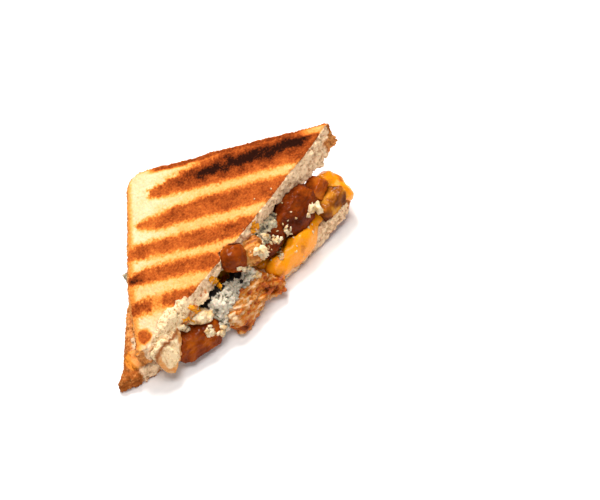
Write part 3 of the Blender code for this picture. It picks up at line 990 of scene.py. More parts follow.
@dataclass
class UpperSlice(Slice):
    """The upper slice, with its dark first bar, scorched rim and torn near end."""

    ragged: Wobble = Wobble(0.0035, 5.0)
    blotchy: Wobble = Wobble(0.0070, 47.0)

    core: Pair = (0.0150, -0.085)  # the burnt line: across where along is core_start, and its slope
    core_start: float = 0.02
    core_least: float = 0.0083  # how near the line comes to the far leg
    core_stray: float = 0.0016
    burnt: Band = Band((0.016, 0.052), (0.112, 0.098), (0.0048, 0.0), 0.24, 0.28)
    halo: Band = Band((0.016, 0.052), (0.112, 0.098), (0.0092, 0.0010), 0.21, 0.10)
    halo_fall: Span = (0.108, 0.094)
    rim_stray: float = 0.0012
    far_brown: Band = Band((0.024, 0.048), (0.110, 0.098), (0.0100, 0.0030), 0.52)
    scorched: Band = Band((0.010, 0.018), (0.1165, 0.1130), (0.0060, 0.0030), 0.76)
    gold_along: Span = (0.097, 0.106)  # the golden patch between the rim and the far end of the bar
    gold_rise: Span = (0.0014, 0.0028)
    gold_fall: Span = (0.0078, 0.0056)
    gold_cool: float = 0.62
    gold_stray: float = 0.0008
    spot: Pair = (0.0045, 0.1050)  # the lone spot: along and across
    spot_edge: Span = (0.0052, 0.0026)
    spot_heat: float = 0.62
    spot_stray: float = 0.001
    spot_clear: Span = (0.0065, 0.0040)  # round the spot the skin isn't torn

    torn_bend: Pair = (0.0160, 0.0955)  # where the line of the tear turns: along and across
    torn_slopes: Pair = (1.78, -0.28)  # before the bend and after it
    torn_edge: Span = (-0.0034, 0.0016)
    torn_stray: float = 0.0030
    torn_holes: float = 0.38  # how much of the crumb's relief torn crumb keeps
    far_crust: Span = (0.0660, 0.0740)  # the crusty lower rim of the far end
    far_crust_below: Span = (-0.0020, -0.0060)
    far_crust_depth: float = 0.8
    far_crust_stray: float = 0.0020
    rim_below: Span = (-0.0070, -0.0010)  # the browned edge of the far leg
    rim_across: Span = (0.0050, 0.0020)
    rim_along: Span = (0.015, 0.030)
    rim_browned: float = 1.6

    flap_past: Span = (-0.0050, -0.0080)  # the hanging flap: past the cut, near its end and below
    flap_near: Span = (-0.036, -0.046)
    flap_below: Span = (-0.004, -0.009)
    flap_holes: float = 0.2
    flap_facing: Spot = (0.12, -0.87, 0.46)
    flap_side: Span = (0.75, 0.45)
    flap_side_crust: float = 0.46
    fold_near: Span = (-0.040, -0.046)
    flap_middle: Vector = field(default_factory=lambda: Vector((-0.0482, -0.0096, 0.0160)))
    flap_size: Pair = (0.0220, 0.0158)  # its width at the top and its height
    flap_narrows: float = 0.55
    flap_leans: float = 0.0065
    flap_turn: Euler = field(
        default_factory=lambda: Euler((math.radians(-28), math.radians(-8), math.radians(8)))
    )
    flap_sides: Span = (0.55, 0.80)
    flap_sides_stray: float = 0.15
    flap_foot: Span = (0.72, 0.92)
    flap_foot_stray: float = 0.10
    flap_least: float = 0.001  # half its width, at the least
    flap_gilt: float = 0.68

    rag: float = 0.0038  # how far the lower rim of the cut is torn into lumps
    rag_cut: Span = (0.0060, 0.0005)
    rag_below: Span = (-0.0030, -0.0100)
    lumps: Wobble = Wobble(0.0050, 31.0)
    lump_stretch: Spot = (1, 0.4, 0.1)
    fine_lumps: Wobble = Wobble(0.0021, 37.0, 0.7)
    fine_stretch: Spot = (1, 0.6, 0.2)

    def burn(self, toast: np.ndarray, places: np.ndarray) -> np.ndarray:
        """Adds the burnt line, the scorched rim and the lone spot, and lightens the far end.

        Args:
            toast: the toast so far.
            places: rows in the slice's own frame.

        Returns:
            The toast with all of these.
        """
        along, across = self.legs(places)
        ragged = self.ragged.at(places)
        blotchy = self.blotchy.at(places)
        middle = np.maximum(self.core[0] + self.core[1] * (along - self.core_start), self.core_least)
        away = np.abs(across - middle) + self.core_stray * ragged
        halo = self.halo.at(along, away, blotchy) * ease(*self.halo_fall, along)
        toast = toast + self.burnt.at(along, away, blotchy) + halo
        from_leg = across + self.rim_stray * ragged
        toast = np.maximum(toast, self.far_brown.at(along, from_leg))
        toast = np.maximum(toast, self.scorched.at(along, from_leg))
        within = across + self.gold_stray * ragged
        gold = ease(*self.gold_along, along) * ease(*self.gold_rise, within) * ease(*self.gold_fall, within)
        toast = toast * (1 - self.gold_cool * gold)
        off_spot = self.off_spot(places) + self.spot_stray * ragged
        return np.maximum(toast, self.spot_heat * ease(*self.spot_edge, off_spot))

    def off_spot(self, places: np.ndarray) -> np.ndarray:
        """How far each place is from the middle of the lone spot."""
        along, across = self.legs(places)
        return np.hypot(along - self.spot[0], across - self.spot[1])

    def torn_at(self, places: np.ndarray) -> np.ndarray:
        """Where the near end is torn open, from 0 to 1.

        Args:
            places: rows in the slice's own frame.

        Returns:
            A number for each place.
        """
        along, across = self.legs(places)
        first, second = self.torn_slopes
        bend = along - self.torn_bend[0]
        limit = self.torn_bend[1] + first * np.maximum(-bend, 0) + second * np.maximum(bend, 0)
        return ease(*self.torn_edge, across - limit + self.torn_stray * self.ragged.at(places))

    def hung_at(self, places: np.ndarray) -> np.ndarray:
        """Where the flap of crumb hangs out below the cut, from 0 to 1."""
        outer = ease(*self.flap_past, places[:, 1]) * ease(*self.flap_near, places[:, 0])
        return outer * ease(*self.flap_below, places[:, 2])

    def flap_edge(self, piece: bpy.types.Object, ragged: np.ndarray) -> np.ndarray:
        """Where the flap's sides and foot are, from 0 to 1.

        Args:
            piece: the slice.
            ragged: noise from -1 to 1 for each of its points.

        Returns:
            A number for each point.
        """
        from_middle = rows_of(piece, "co") - np.array(SLICE_ORIGIN) - np.array(self.flap_middle)
        local = from_middle @ np.array(self.flap_turn.to_matrix())
        down = 0.5 - local[:, 2] / self.flap_size[1]
        half = self.flap_size[0] * (1 - self.flap_narrows * down) / 2
        off = np.abs(local[:, 0] + self.flap_leans * down) / np.maximum(half, self.flap_least)
        sides = ease(*self.flap_sides, off + self.flap_sides_stray * ragged)
        return np.maximum(sides, ease(*self.flap_foot, down + self.flap_foot_stray * ragged))

    def mark_more(self, piece: bpy.types.Object, places: np.ndarray, normals: np.ndarray) -> None:
        """Adds the burnt line, the scorched rim, the lone spot, the torn crumb, the hanging flap and the
        painted shade in its fold.

        Args:
            piece: the slice.
            places: its points in its own frame.
            normals: their normals in that frame.
        """
        along, across = self.legs(places)
        ragged = self.ragged.at(places)
        torn = self.torn_at(places)
        hung = self.hung_at(places)
        near_spot = ease(*self.spot_clear, self.off_spot(places))
        crumb = np.maximum(read_mask(piece, "crumb"), torn * (1 - near_spot))
        crumb = np.maximum(crumb, hung)
        far_end = ease(*self.far_crust, places[:, 0] + self.far_crust_stray * ragged)
        far_end *= ease(*self.far_crust_below, places[:, 2])
        crust = np.maximum(read_mask(piece, "crust") * (1 - torn), self.far_crust_depth * far_end)
        facing = np.abs(normals @ np.array(self.flap_facing))
        crust = np.maximum(crust, self.flap_side_crust * hung * ease(*self.flap_side, facing))
        # Painted shade in the fold, where the flap is neither quite hanging nor quite on the slice.
        fold_shade = (4 * hung * (1 - hung)) ** 2 * ease(*self.fold_near, places[:, 0])
        far_rim = ease(*self.rim_below, places[:, 2]) * ease(*self.rim_across, across)
        far_rim *= ease(*self.rim_along, along)
        holes = crumb * (1 - (1 - self.flap_holes) * hung) * (1 - (1 - self.torn_holes) * torn)
        write_mask(piece, "toast", self.burn(read_mask(piece, "toast"), places))
        write_mask(piece, "crumb", crumb)
        write_mask(piece, "crust", crust)
        write_mask(piece, "torn", np.maximum(torn, hung))
        write_mask(piece, "ripped", torn * (1 - hung))
        write_mask(piece, "crease_shade", fold_shade)
        write_mask(piece, "browned", self.rim_browned * far_rim)
        write_mask(piece, "holes", holes)
        write_mask(piece, "stain", self.flap_gilt * hung * self.flap_edge(piece, ragged))

    def shape(self, piece: bpy.types.Object) -> None:
        """Tears the lower rim of the cut into lumps.

        Args:
            piece: the slice.
        """
        places, _ = self.own_frame(piece)
        lumps = self.lumps.at(places * self.lump_stretch) + self.fine_lumps.at(places * self.fine_stretch)
        near_cut = ease(*self.rag_cut, places[:, 1]) * ease(*self.rag_below, places[:, 2])
        up = np.array(self.turn.to_matrix())[:, 2]
        write_points(piece, rows_of(piece, "co") + up * (self.rag * lumps * near_cut)[:, None])


@dataclass
class LowerSlice(Slice):
    """The lower slice: its upper face shows only at the near corner, stained with cheese."""

    stain: Spot = (-0.0648, 0.0030, 0.0085)  # its middle and its radius
    top_up: Span = (0.2, 0.6)
    rim_edge: Span = (0.0085, 0.0040)
    rim_wave: Wobble = Wobble(0.003, 21.0, 0.0016)
    rim_depth: float = 0.9
    end_wave: Wobble = Wobble(0.004, 43.0, 0.0020)
    end_crust: Span = (-0.0655, -0.0700)
    end_browned: Span = (-0.0560, -0.0680)
    cut_out: Span = (0.3, 0.7)
    base_high: Span = (0.0022, 0.0010)
    base_depth: float = 0.8

    def mark_more(self, piece: bpy.types.Object, places: np.ndarray, normals: np.ndarray) -> None:
        """Browns the rim of the upper face, the near end and the foot of the cut, and stains the top.

        Args:
            piece: the slice.
            places: its points in its own frame.
            normals: their normals in that frame.
        """
        inward = np.minimum(*self.legs(places)) + self.rim_wave.at(places)
        top = ease(*self.top_up, normals[:, 2])
        near_end = places[:, 0] + self.end_wave.at(places)
        base = ease(*self.cut_out, -normals[:, 1]) * ease(*self.base_high, places[:, 2])
        crust = np.maximum(read_mask(piece, "crust"), self.rim_depth * top * ease(*self.rim_edge, inward))
        crust = np.maximum(crust, ease(*self.end_crust, near_end))
        write_mask(piece, "crust", np.maximum(crust, self.base_depth * base))
        write_mask(piece, "browned", ease(*self.end_browned, near_end))
        column, row, radius = self.stain
        gap = np.hypot(places[:, 0] - column, places[:, 1] - row)
        write_mask(piece, "stain", top * round_patch(radius, gap))


@dataclass
class Filling(FinePiece):
    """A piece of filling; sauce gathers at its ends."""

    voxel: float = 0.0005
    sauce: float = 0.0
    sauce_share: float = 0.5  # how much of the sauce there is between the ends
    sauce_ends: Span = (0.55, 1.0)

    def mark(self, piece: bpy.types.Object) -> None:
        """Stores how far the sauce colours each point.

        Args:
            piece: the remeshed filling.
        """
        points = rows_of(piece, "co")
        low, high = points.min(0), points.max(0)
        ends = np.abs(points[:, 0] - (low[0] + high[0]) / 2) / (high[0] - low[0]) * 2
        write_mask(piece, "sauce", self.sauce * (self.sauce_share + ease(*self.sauce_ends, ends)))


Placed = tuple[Vector, Vector, float]  # where a crumb lies, which way is out, and its radius


@dataclass
class Scatter:
    """Many small crumbs of one kind, made from one shape and joined into one piece."""

    name: str
    slot: str
    seed: int
    spots: Sequence[Placed]
    flat: float = 1.0  # how thick each crumb is, from the surface out
    proud: float = 0.35  # how far a crumb stands out, in its own radius and its thickness
    rough: float = 1.2
    lump_rate: float = 1.7
    shifts: Pair = (0, 100)
    stretches: Pair = (0.5, 1.5)

    def build(self) -> bpy.types.Object:
        """Makes a crumb at each spot and joins them.

        Returns:
            The joined piece, riding on the part's body.
        """
        dice = random.Random(self.seed)
        lift = self.proud * self.flat
        bpy.ops.object.select_all(action="DESELECT")
        bpy.ops.mesh.primitive_ico_sphere_add(subdivisions=2, radius=1.0)
        shape = bpy.context.active_object
        made = []
        for place, out, size in self.spots:
            crumb = bpy.data.objects.new(self.name, shape.data.copy())
            bpy.context.scene.collection.objects.link(crumb)
            shift = dice.uniform(*self.shifts)
            points = rows_of(crumb, "co")
            lumps = np.array([noise.noise(row) for row in (points * self.lump_rate + shift).tolist()])
            stretch = np.array([dice.uniform(*self.stretches) for _ in range(3)])
            points = points * (1 + self.rough * lumps[:, None]) * stretch * size
            turn = Euler([dice.uniform(0, math.tau) for _ in range(3)]).to_matrix()
            points = points @ np.array(turn)
            points -= (1 - self.flat) * np.outer(points @ np.array(out), out)
            points += np.array(place + out * size * lift)
            write_points(crumb, points)
            made.append(crumb)
        bpy.data.objects.remove(shape)
        for crumb in made:
            crumb.select_set(True)
        bpy.context.view_layer.objects.active = made[0]
        bpy.ops.object.join()
        piece = bpy.context.active_object
        piece.name = self.name
        piece.data.shade_smooth()
        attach(piece, BODY)
        LOG.info("%s: %d crumbs", self.name, len(made))
        return piece


class Surface:
    """The outside of the finished pieces, for placing crumbs on them."""

    def __init__(self, pieces: Iterable[bpy.types.Object]) -> None:
        """Gathers the pieces' faces into one search tree.

        Args:
            pieces: the pieces that crumbs may lie on.
        """
        corners: list[Vector] = []
        faces: list[list[int]] = []
        for piece in pieces:
            start = len(corners)
            corners.extend(Vector(row) for row in rows_of(piece, "co"))
            faces.extend([start + index for index in face.vertices] for face in piece.data.polygons)
        self.tree = BVHTree.FromPolygons(corners, faces)

    def meet(self, start: Vector, way: Vector) -> tuple[Vector, Vector] | None:
        """The first surface point met.

        Args:
            start: where the path starts.
            way: the direction of travel.

        Returns:
            The point and its normal, or None where nothing is met.
        """
        point, normal, _, _ = self.tree.ray_cast(start, way)
        return (point, normal) if point else None


@dataclass(frozen=True)
class Lamp:
    """A square soft lamp that faces a point."""

    name: str
    place: Spot
    aim: Spot
    side: float
    watts: float
    colour: Spot = (1.0, 1.0, 1.0)

    def hang(self) -> None:
        """Adds the lamp to the scene."""
        data = bpy.data.lights.new(self.name, "AREA")
        data.size = self.side
        data.energy = self.watts
        data.color = self.colour
        lamp = bpy.data.objects.new(self.name, data)
        bpy.context.scene.collection.objects.link(lamp)
        lamp.location = self.place
        lamp.rotation_euler = (Vector(self.aim) - Vector(self.place)).to_track_quat("-Z", "Y").to_euler()


@dataclass
class Studio:
    """The camera, the pale floor and the soft lights."""

    lens: float = 90.0
    film: float = 36.0
    clip: Span = (0.01, 20.0)
    place: Vector = field(default_factory=lambda: Vector((-0.2005, -0.4160, 0.6659)) + SLICE_ORIGIN)
    right: Vector = field(default_factory=lambda: Vector((0.7581, -0.6401, -0.1211)))
    up: Vector = field(default_factory=lambda: Vector((0.5797, 0.5777, 0.5746)))
    back: Vector = field(default_factory=lambda: Vector((-0.2975, -0.5067, 0.8096)))

    lamps: Sequence[Lamp] = (
        Lamp("key", (0.30, 0.52, 1.05), (0, 0, 0), 0.40, 18.0, (1.0, 0.995, 0.98)),
        Lamp("top", (0.00, -0.10, 1.3), (0, 0, 0), 0.6, 9.5),
        Lamp("fill", (-0.3, -1.1, 0.7), (0, 0, 0.02), 0.7, 4.2),
    )
    surround: Colour = tone(250, 250, 250)
    surround_strength: float = 0.13
    floor_size: float = 8.0
    floor_colour: Colour = tone(252, 249, 247)
    floor_roughness: float = 0.9

    def sight(self, column: float, row: float) -> Vector:
        """The direction in which the camera sees a pixel of the photograph.

        Args:
            column: of the pixel, from the left.
            row: of the pixel, from the top.

        Returns:
            The direction, of length 1.
        """
        focus = PICTURE[0] * self.lens / self.film
        side = (column - PICTURE[0] / 2) / focus
        rise = (PICTURE[1] / 2 - row) / focus
        return (self.right * side + self.up * rise - self.back).normalized()

    def camera(self) -> None:
        """Places the camera where the photograph was taken from."""
        data = bpy.data.cameras.new("camera")
        data.lens = self.lens
        data.sensor_width = self.film
        data.clip_start, data.clip_end = self.clip
        camera = bpy.data.objects.new("camera", data)
        bpy.context.scene.collection.objects.link(camera)
        axes = Matrix((self.right, self.up, self.back)).transposed().to_4x4()
        camera.matrix_world = Matrix.Translation(self.place) @ axes
        bpy.context.scene.camera = camera

    def floor(self) -> None:
        """Lays a wide pale floor under the sandwich."""
        bpy.ops.object.select_all(action="DESELECT")
        bpy.ops.mesh.primitive_plane_add(size=self.floor_size)
        floor = bpy.context.active_object
        floor.name = "floor"
        material = bpy.data.materials.new("floor")
        material.use_nodes = True
        shader = material.node_tree.nodes["Principled BSDF"]
        shader.inputs["Base Color"].default_value = self.floor_colour
        shader.inputs["Roughness"].default_value = self.floor_roughness
        floor.data.materials.append(material)

    def lights(self) -> None:
        """Hangs a large key from the left and behind, a top and a weak fill in a pale surround."""
        for lamp in self.lamps:
            lamp.hang()
        world = bpy.data.worlds.new("surround")
        world.use_nodes = True
        background = world.node_tree.nodes["Background"]
        background.inputs["Color"].default_value = self.surround
        background.inputs["Strength"].default_value = self.surround_strength
        bpy.context.scene.world = world
        bpy.context.scene.view_settings.view_transform = "Standard"

    def build(self) -> None:
        """Builds the whole studio."""
        self.camera()
        self.floor()
        self.lights()


@dataclass(frozen=True)
class Strand:
    """A flake or strand of meat on a chunk, between two pixels of the photograph.

    Its width and thickness are in metres; sauce runs from -0.5, pale, to 1, dark.
    """

    start: Pair
    end: Pair
    width: float
    thick: float
    sauce: float


@dataclass
class PulledChunk(Filling):
    """A chunk of pulled chicken with strands lying over it."""

    strands: Sequence[Strand] = ()
    view: Studio = field(default_factory=Studio)
    reach: float = 0.58  # half a strand's length, in the distance between its ends
    lift: float = 0.4  # how far a strand's middle stands out, in its thickness
    hold: Span = (0.75, 0.40)  # how far round a strand its sauce goes, in its width
    axes: list[tuple[Vector, Vector, Strand]] = field(default_factory=list)

    def add_to(self, piece: bpy.types.Object) -> None:
        """Lays a long, flat shape along each strand and joins it to the chunk.

        Args:
            piece: the chunk's solid.
        """
        surface = Surface([piece])
        made = []
        for strand in self.strands:
            ways = [self.view.sight(*pixel) for pixel in (strand.start, strand.end)]
            ends = [surface.meet(self.view.place, way) for way in ways]
            if None in ends:
                continue
            (start, out), (end, other) = ends
            run = end - start
            bpy.ops.object.select_all(action="DESELECT")
            bpy.ops.mesh.primitive_ico_sphere_add(subdivisions=3, radius=1.0)
            flake = bpy.context.active_object
            along = run.normalized()
            rise = (out + other).normalized()
            side = rise.cross(along).normalized()
            rise = along.cross(side)
            scale = Matrix.Diagonal((self.reach * run.length, strand.width / 2, strand.thick, 1))
            turn = Matrix((along, side, rise)).transposed().to_4x4()
            middle = (start + end) / 2 + rise * self.lift * strand.thick
            flake.data.transform(Matrix.Translation(middle) @ turn @ scale)
            self.axes.append((start, end, strand))
            made.append(flake)
        select_only(piece)
        for flake in made:
            flake.select_set(True)
        if made:
            bpy.ops.object.join()

    def mark(self, piece: bpy.types.Object) -> None:
        """Gives each strand its own amount of sauce.

        Args:
            piece: the remeshed chunk.
        """
        super().mark(piece)
        points = rows_of(piece, "co")
        sauce = read_mask(piece, "sauce").astype(float)
        for start, end, strand in self.axes:
            first, run = np.array(start), np.array(end - start)
            share = np.clip((points - first) @ run / (run @ run), 0, 1)
            gap = np.linalg.norm(points - first - share[:, None] * run, axis=1)
            hold = ease(self.hold[0] * strand.width, self.hold[1] * strand.width, gap)
            sauce += (strand.sauce - sauce) * hold
        write_mask(piece, "sauce", sauce)


@dataclass
class VeinedLump(Filling):
    """A lump of blue cheese with near-black painted shade at some pixels of the photograph.

    Each of the patches holds a column, a row and a radius in metres.
    """

    patches: Sequence[Spot] = ()
    view: Studio = field(default_factory=Studio)

    def mark(self, piece: bpy.types.Object) -> None:
        """Stores where painted shade darkens the lump.

        Args:
            piece: the remeshed lump.
        """
        super().mark(piece)
        surface = Surface([piece])
        points = rows_of(piece, "co")
        painted_shade = np.zeros(len(points))
        for column, row, radius in self.patches:
            met = surface.meet(self.view.place, self.view.sight(column, row))
            if met:
                gap = np.linalg.norm(points - np.array(met[0]), axis=1)
                painted_shade = np.maximum(painted_shade, round_patch(radius, gap))
        write_mask(piece, "painted_shade", painted_shade)


@dataclass(frozen=True)
class Cluster:
    """A cluster of crumbs, aimed at a pixel of the photograph and laid on what is there.

    Its width and height are in pixels; least and most are the crumbs' radii in metres.
    """

    column: float
    row: float
    wide: float
    tall: float
    count: int
    least: float
    most: float

    def spots(self, surface: Surface, view: Studio, dice: random.Random) -> list[Placed]:
        """Finds where the crumbs lie.

        Args:
            surface: the pieces they may lie on.
            view: the studio, whose camera the pixels belong to.
            dice: the source of chance.

        Returns:
            The place, the normal and the radius of each crumb that meets a surface.
        """
        found = []
        for _ in range(self.count):
            column = dice.gauss(self.column, self.wide / 2)
            row = dice.gauss(self.row, self.tall / 2)
            size = dice.uniform(self.least, self.most)
            spot = surface.meet(view.place, view.sight(column, row))
            if spot:
                found.append((*spot, size))
        return found


@dataclass
class Sandwich:
    """All the food: the two slices, the filling and the crumbs on it."""

    nodes: dict[str, bpy.types.Object]
    view: Studio
    pieces: dict[str, bpy.types.Object] = field(default_factory=dict)

    pale_clusters: Sequence[Cluster] = (
        Cluster(262.5, 250.0, 4.5, 4.0, 12, 0.0013, 0.0021),
        Cluster(266.0, 236.0, 7.0, 3.0, 9, 0.0006, 0.0012),
        Cluster(277.0, 239.5, 5.0, 2.5, 9, 0.0008, 0.0013),
        Cluster(281.0, 254.0, 2.0, 5.0, 6, 0.0007, 0.0012),
        Cluster(287.5, 231.5, 2.6, 6.0, 11, 0.0008, 0.0014),
        Cluster(313.5, 207.0, 5.0, 3.5, 10, 0.0013, 0.0021),
        Cluster(309.0, 214.5, 2.0, 2.5, 4, 0.0008, 0.0012),
        Cluster(210.0, 330.0, 4.5, 6.0, 12, 0.0009, 0.0016),
        Cluster(224.0, 332.0, 5.0, 4.5, 13, 0.0011, 0.0018),
        Cluster(184.5, 327.0, 5.0, 4.0, 10, 0.0009, 0.0016),
        Cluster(247.0, 268.0, 8.0, 3.0, 9, 0.0007, 0.0012),
        Cluster(258.0, 276.0, 6.0, 3.5, 8, 0.0006, 0.0011),
        Cluster(285.0, 232.0, 44.0, 44.0, 34, 0.0003, 0.0007),
        Cluster(268.0, 248.0, 18.0, 12.0, 16, 0.0004, 0.0008),
        Cluster(212.0, 322.0, 34.0, 18.0, 18, 0.0003, 0.0006),
    )
    first_seed: int = 40
    orange_clusters: Sequence[Cluster] = (
        Cluster(215.5, 281.0, 6.0, 6.0, 12, 0.0010, 0.0016),
        Cluster(195.0, 309.0, 3.5, 4.5, 9, 0.0011, 0.0017),
        Cluster(189.0, 319.0, 6.0, 2.0, 6, 0.0006, 0.0010),
        Cluster(254.0, 226.0, 4.0, 5.0, 9, 0.0009, 0.0014),
    )

    # Pixels and radii of the near-black shade painted on the blue cheese, in the cavity and along the
    # slice's lower rim.
    painted_shade: Sequence[Spot] = (
        (231.0, 277.0, 0.0044),
        (238.0, 275.0, 0.0034),
        (226.0, 282.0, 0.0044),
        (220.0, 287.0, 0.0042),
        (214.0, 292.0, 0.0040),
        (208.0, 299.0, 0.0036),
        (205.0, 306.0, 0.0034),
        (210.0, 313.0, 0.0030),
        (242.0, 281.0, 0.0014),
    )

    flakes: Sequence[Strand] = (
        Strand((228, 309), (247, 302), 0.0042, 0.0010, -0.40),
        Strand((231, 317), (247, 309), 0.0036, 0.0011, -0.35),
        Strand((238, 313), (256, 296), 0.0015, 0.0014, 0.45),
        Strand((248, 312), (270, 291), 0.0016, 0.0014, 0.40),
        Strand((244, 321), (266, 303), 0.0020, 0.0013, -0.25),
        Strand((250, 325), (268, 309), 0.0014, 0.0012, 0.50),
        Strand((258, 300), (275, 285), 0.0016, 0.0013, 0.35),
        Strand((242, 296), (254, 288), 0.0024, 0.0010, -0.15),
        Strand((231, 325), (246, 321), 0.0017, 0.0012, 0.30),
        Strand((237, 330), (250, 323), 0.0014, 0.0011, 0.45),
        Strand((268, 296), (284, 288), 0.0018, 0.0011, 0.45),
        Strand((262, 285), (280, 282), 0.0016, 0.0011, 0.35),
        Strand((256, 309), (270, 297), 0.0014, 0.0013, -0.20),
    )

    bar_print: Sequence[GrillBar] = (
        GrillBar(0.0105, 0.0208, 0.0026, 0.0222, 0.046, 0.59),
        GrillBar(0.0030, 0.0392, 0.0290, 0.0424, 0.040, 0.58),
        GrillBar(-0.0120, 0.0548, 0.0496, 0.0602, 0.026, 0.58),
        GrillBar(-0.0080, 0.0712, 0.0660, 0.0762, 0.028, 0.58),
        GrillBar(-0.0100, 0.0882, 0.0850, 0.0930, 0.024, 0.60),
    )

    bread_skin: Sequence[Relief] = (
        Relief(Grain.CLOUDY, 0.0070, 0.00035, seed=1),
        Relief(Grain.CRUMBLY, 0.0060, 0.00080, seed=2, where="holes"),
        Relief(Grain.CRUMBLY, 0.0028, 0.00062, seed=22, where="holes"),
        Relief(Grain.PITTED, 0.0024, 0.00085, seed=3, where="holes"),
        Relief(Grain.CRUMBLY, 0.0018, 0.00050, seed=24, where="ripped"),
        Relief(Grain.CRUMBLY, 0.0015, 0.00042, seed=14),
        Relief(Grain.CRUMBLY, 0.0020, 0.00022, seed=4, where="skin"),
    )

    def slices(self) -> None:
        """Makes both slices of bread."""
        finish = GrilledBread().make()
        upper = UpperSlice(
            "bread_upper",
            "upper_slice",
            "toast",
            reliefs=self.bread_skin,
            corner=Vector((-0.0017, 0.0897, 0.0309)),
            turn=Euler((math.radians(-5.4), math.radians(-6.6), math.radians(10.6))),
            bars=self.bar_print,
        )
        lower = LowerSlice(
            "bread_lower",
            "lower_slice",
            "toast",
            reliefs=self.bread_skin,
            toasted_side=-1.0,
            bars=self.bar_print,
        )
        for bread in (upper, lower):
            piece = bread.build(self.nodes)
            piece.data.materials.append(finish)
            self.pieces[bread.name] = piece

    def fill(self, filling: Filling, finish: bpy.types.Material) -> None:
        """Adds one piece of filling with its finish.

        Args:
            filling: the piece to build.
            finish: its material.
        """
        piece = filling.build(self.nodes)
        piece.data.materials.append(finish)
        self.pieces[filling.name] = piece

    def chicken(self) -> None:
        """Makes the glazed, the torn and the coated chicken, and the bed, painted near-black as shade."""
        glazed = GlazedChicken().make()
        dark = GlazedChicken("dark_chicken", tone(52, 14, 1), tone(104, 36, 2), tone(160, 70, 8)).make()
        torn = TornChicken().make()
        tan = TornChicken(
            "tan_chicken", tone(228, 180, 118), tone(210, 146, 70), tone(190, 108, 30), tone(124, 62, 16)
        ).make()
        coated = GlazedChicken(
            "coated_chicken", tone(90, 40, 5), tone(150, 80, 13), tone(214, 142, 38), low=0.34, high=0.66
        ).make()
        amber = GlazedChicken(
            "amber_chicken", tone(104, 38, 4), tone(168, 76, 12), tone(216, 120, 30)
        ).make()
        # The bed's sauce colours, darkened to near black as painted shade of its recess.
        bed_shade = GlazedChicken("shaded_bed_chicken", tone(26, 8, 2), tone(66, 24, 6), tone(118, 54, 14)).make()
        smooth = (
            Relief(Grain.CLOUDY, 0.0070, 0.0007, seed=5),
            Relief(Grain.CLOUDY, 0.0028, 0.00045, seed=6),
            Relief(Grain.CRUMBLY, 0.0036, 0.00035, seed=16),
        )
        strands = (
            Relief(Grain.STRANDED, 0.0030, 0.0009, stretch=(5.0, 1.0, 1.0), turn=-20.0, seed=7),
            Relief(Grain.CRUMBLY, 0.0034, 0.0007, seed=8),
        )
        for node, rounds, finish in (
            ("chicken_near_large", 6, glazed),
            ("chicken_far_cube", 6, amber),
            ("chicken_far_large", 6, dark),
            ("chicken_middle", 6, dark),
            ("chicken_round", 18, glazed),
            ("chicken_back_near_1", 6, glazed),
            ("chicken_back_far_1", 6, dark),
            ("chicken_back_far_3", 6, glazed),
        ):
            chunk = Filling(node, node + "_glazed", "chicken_glazed", smooth=rounds, reliefs=smooth)
            self.fill(chunk, finish)
        for node, sauce, finish in (
            ("chicken_tan", 0.10, tan),
            ("chicken_back_near_2", 0.4, torn),
            ("chicken_back_far_2", 0.4, torn),
        ):
            chunk = Filling(node, node + "_pulled", "chicken_torn", reliefs=strands, sauce=sauce)
            self.fill(chunk, finish)
        near = PulledChunk(
            "chicken_torn",
            "chicken_torn_pulled",
            "chicken_torn",
            smooth=3,
            reliefs=strands,
            sauce=0.15,
            strands=self.flakes,
            view=self.view,
        )
        self.fill(near, torn)
        corner = Filling("chicken_far_corner", "chicken_far_corner_coated", "chicken_torn", reliefs=smooth)
        self.fill(corner, coated)
        # The recessed bed gets the near-black painted shade.
        bed = Filling("chicken_bed", "chicken_bed_pulled", "chicken_torn", 0.0008, 3, strands)
        self.fill(bed, bed_shade)

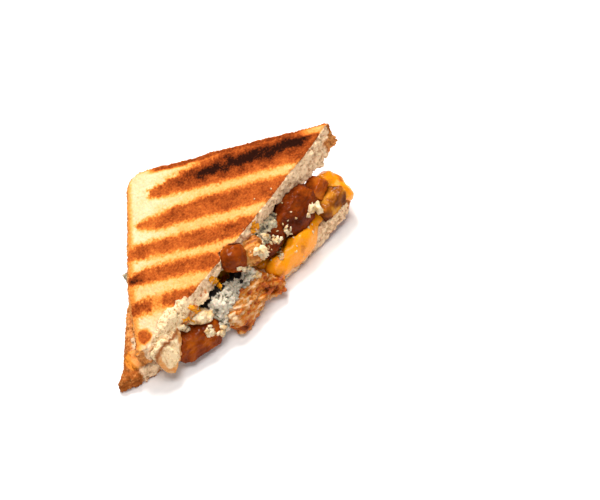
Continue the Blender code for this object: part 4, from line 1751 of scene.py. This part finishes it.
    def cheese(self) -> None:
        """Makes the melted cheese, the blue cheese and the pale shaving."""
        melted = MeltedCheese().make()
        blue = BlueCheese().make()
        veined = BlueCheese("veined_cheese", tone(162, 146, 118), tone(196, 182, 150), veined=0.07).make()
        pale = PaleCheese().make()
        flow = (
            Relief(Grain.CLOUDY, 0.0070, 0.0006, seed=9),
            Relief(Grain.CLOUDY, 0.0028, 0.0002, seed=10),
        )
        broken = (
            Relief(Grain.CRUMBLY, 0.0044, 0.0012, seed=11),
            Relief(Grain.CRUMBLY, 0.0022, 0.0007, seed=15),
            Relief(Grain.PITTED, 0.0022, 0.0009, seed=12),
        )
        rough = (Relief(Grain.CRUMBLY, 0.0040, 0.0008, seed=13),)
        self.fill(Filling("cheddar", "melted_cheese", "cheddar", 0.0006, 5, flow), melted)
        lump = VeinedLump(
            "blue_cheese_lump",
            "blue_cheese_lump_fine",
            "blue_cheese",
            smooth=3,
            reliefs=broken,
            patches=self.painted_shade,
            view=self.view,
        )
        self.fill(lump, blue)
        for node in ("blue_cheese_smear", "blue_cheese_leg"):
            self.fill(Filling(node, node + "_fine", "blue_cheese", smooth=3, reliefs=broken), veined)
        self.fill(Filling("pale_shaving", "pale_shaving_fine", "pale_cheese", 0.0004, 3, rough), pale)

    def crumbs(self) -> None:
        """Scatters pale crumbs and bits of orange cheese over the filling."""
        surface = Surface(self.pieces.values())
        kinds = (
            ("pale_crumbs", "pale_cheese", self.pale_clusters, PaleCheese("pale_crumbs"), 1.0),
            ("cheese_bits", "cheddar", self.orange_clusters, MeltedCheese("cheese_bits"), 0.4),
        )
        for seed, (name, slot, clusters, finish, flat) in enumerate(kinds, self.first_seed):
            dice = random.Random(seed)
            spots = [spot for cluster in clusters for spot in cluster.spots(surface, self.view, dice)]
            piece = Scatter(name, slot, seed, spots, flat).build()
            piece.data.materials.clear()
            piece.data.materials.append(finish.make())

    def build(self) -> None:
        """Builds every piece in order."""
        self.slices()
        self.chicken()
        self.cheese()
        self.crumbs()


def main() -> None:
    """Loads the part and dresses it; each piece logs how many points or crumbs it has."""
    logging.basicConfig(level=logging.INFO, format="%(message)s")
    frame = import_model()
    studio = Studio()
    studio.build()
    Sandwich(frame["nodes"], studio).build()
    bpy.context.view_layer.update()


if __name__ == "__main__":
    main()
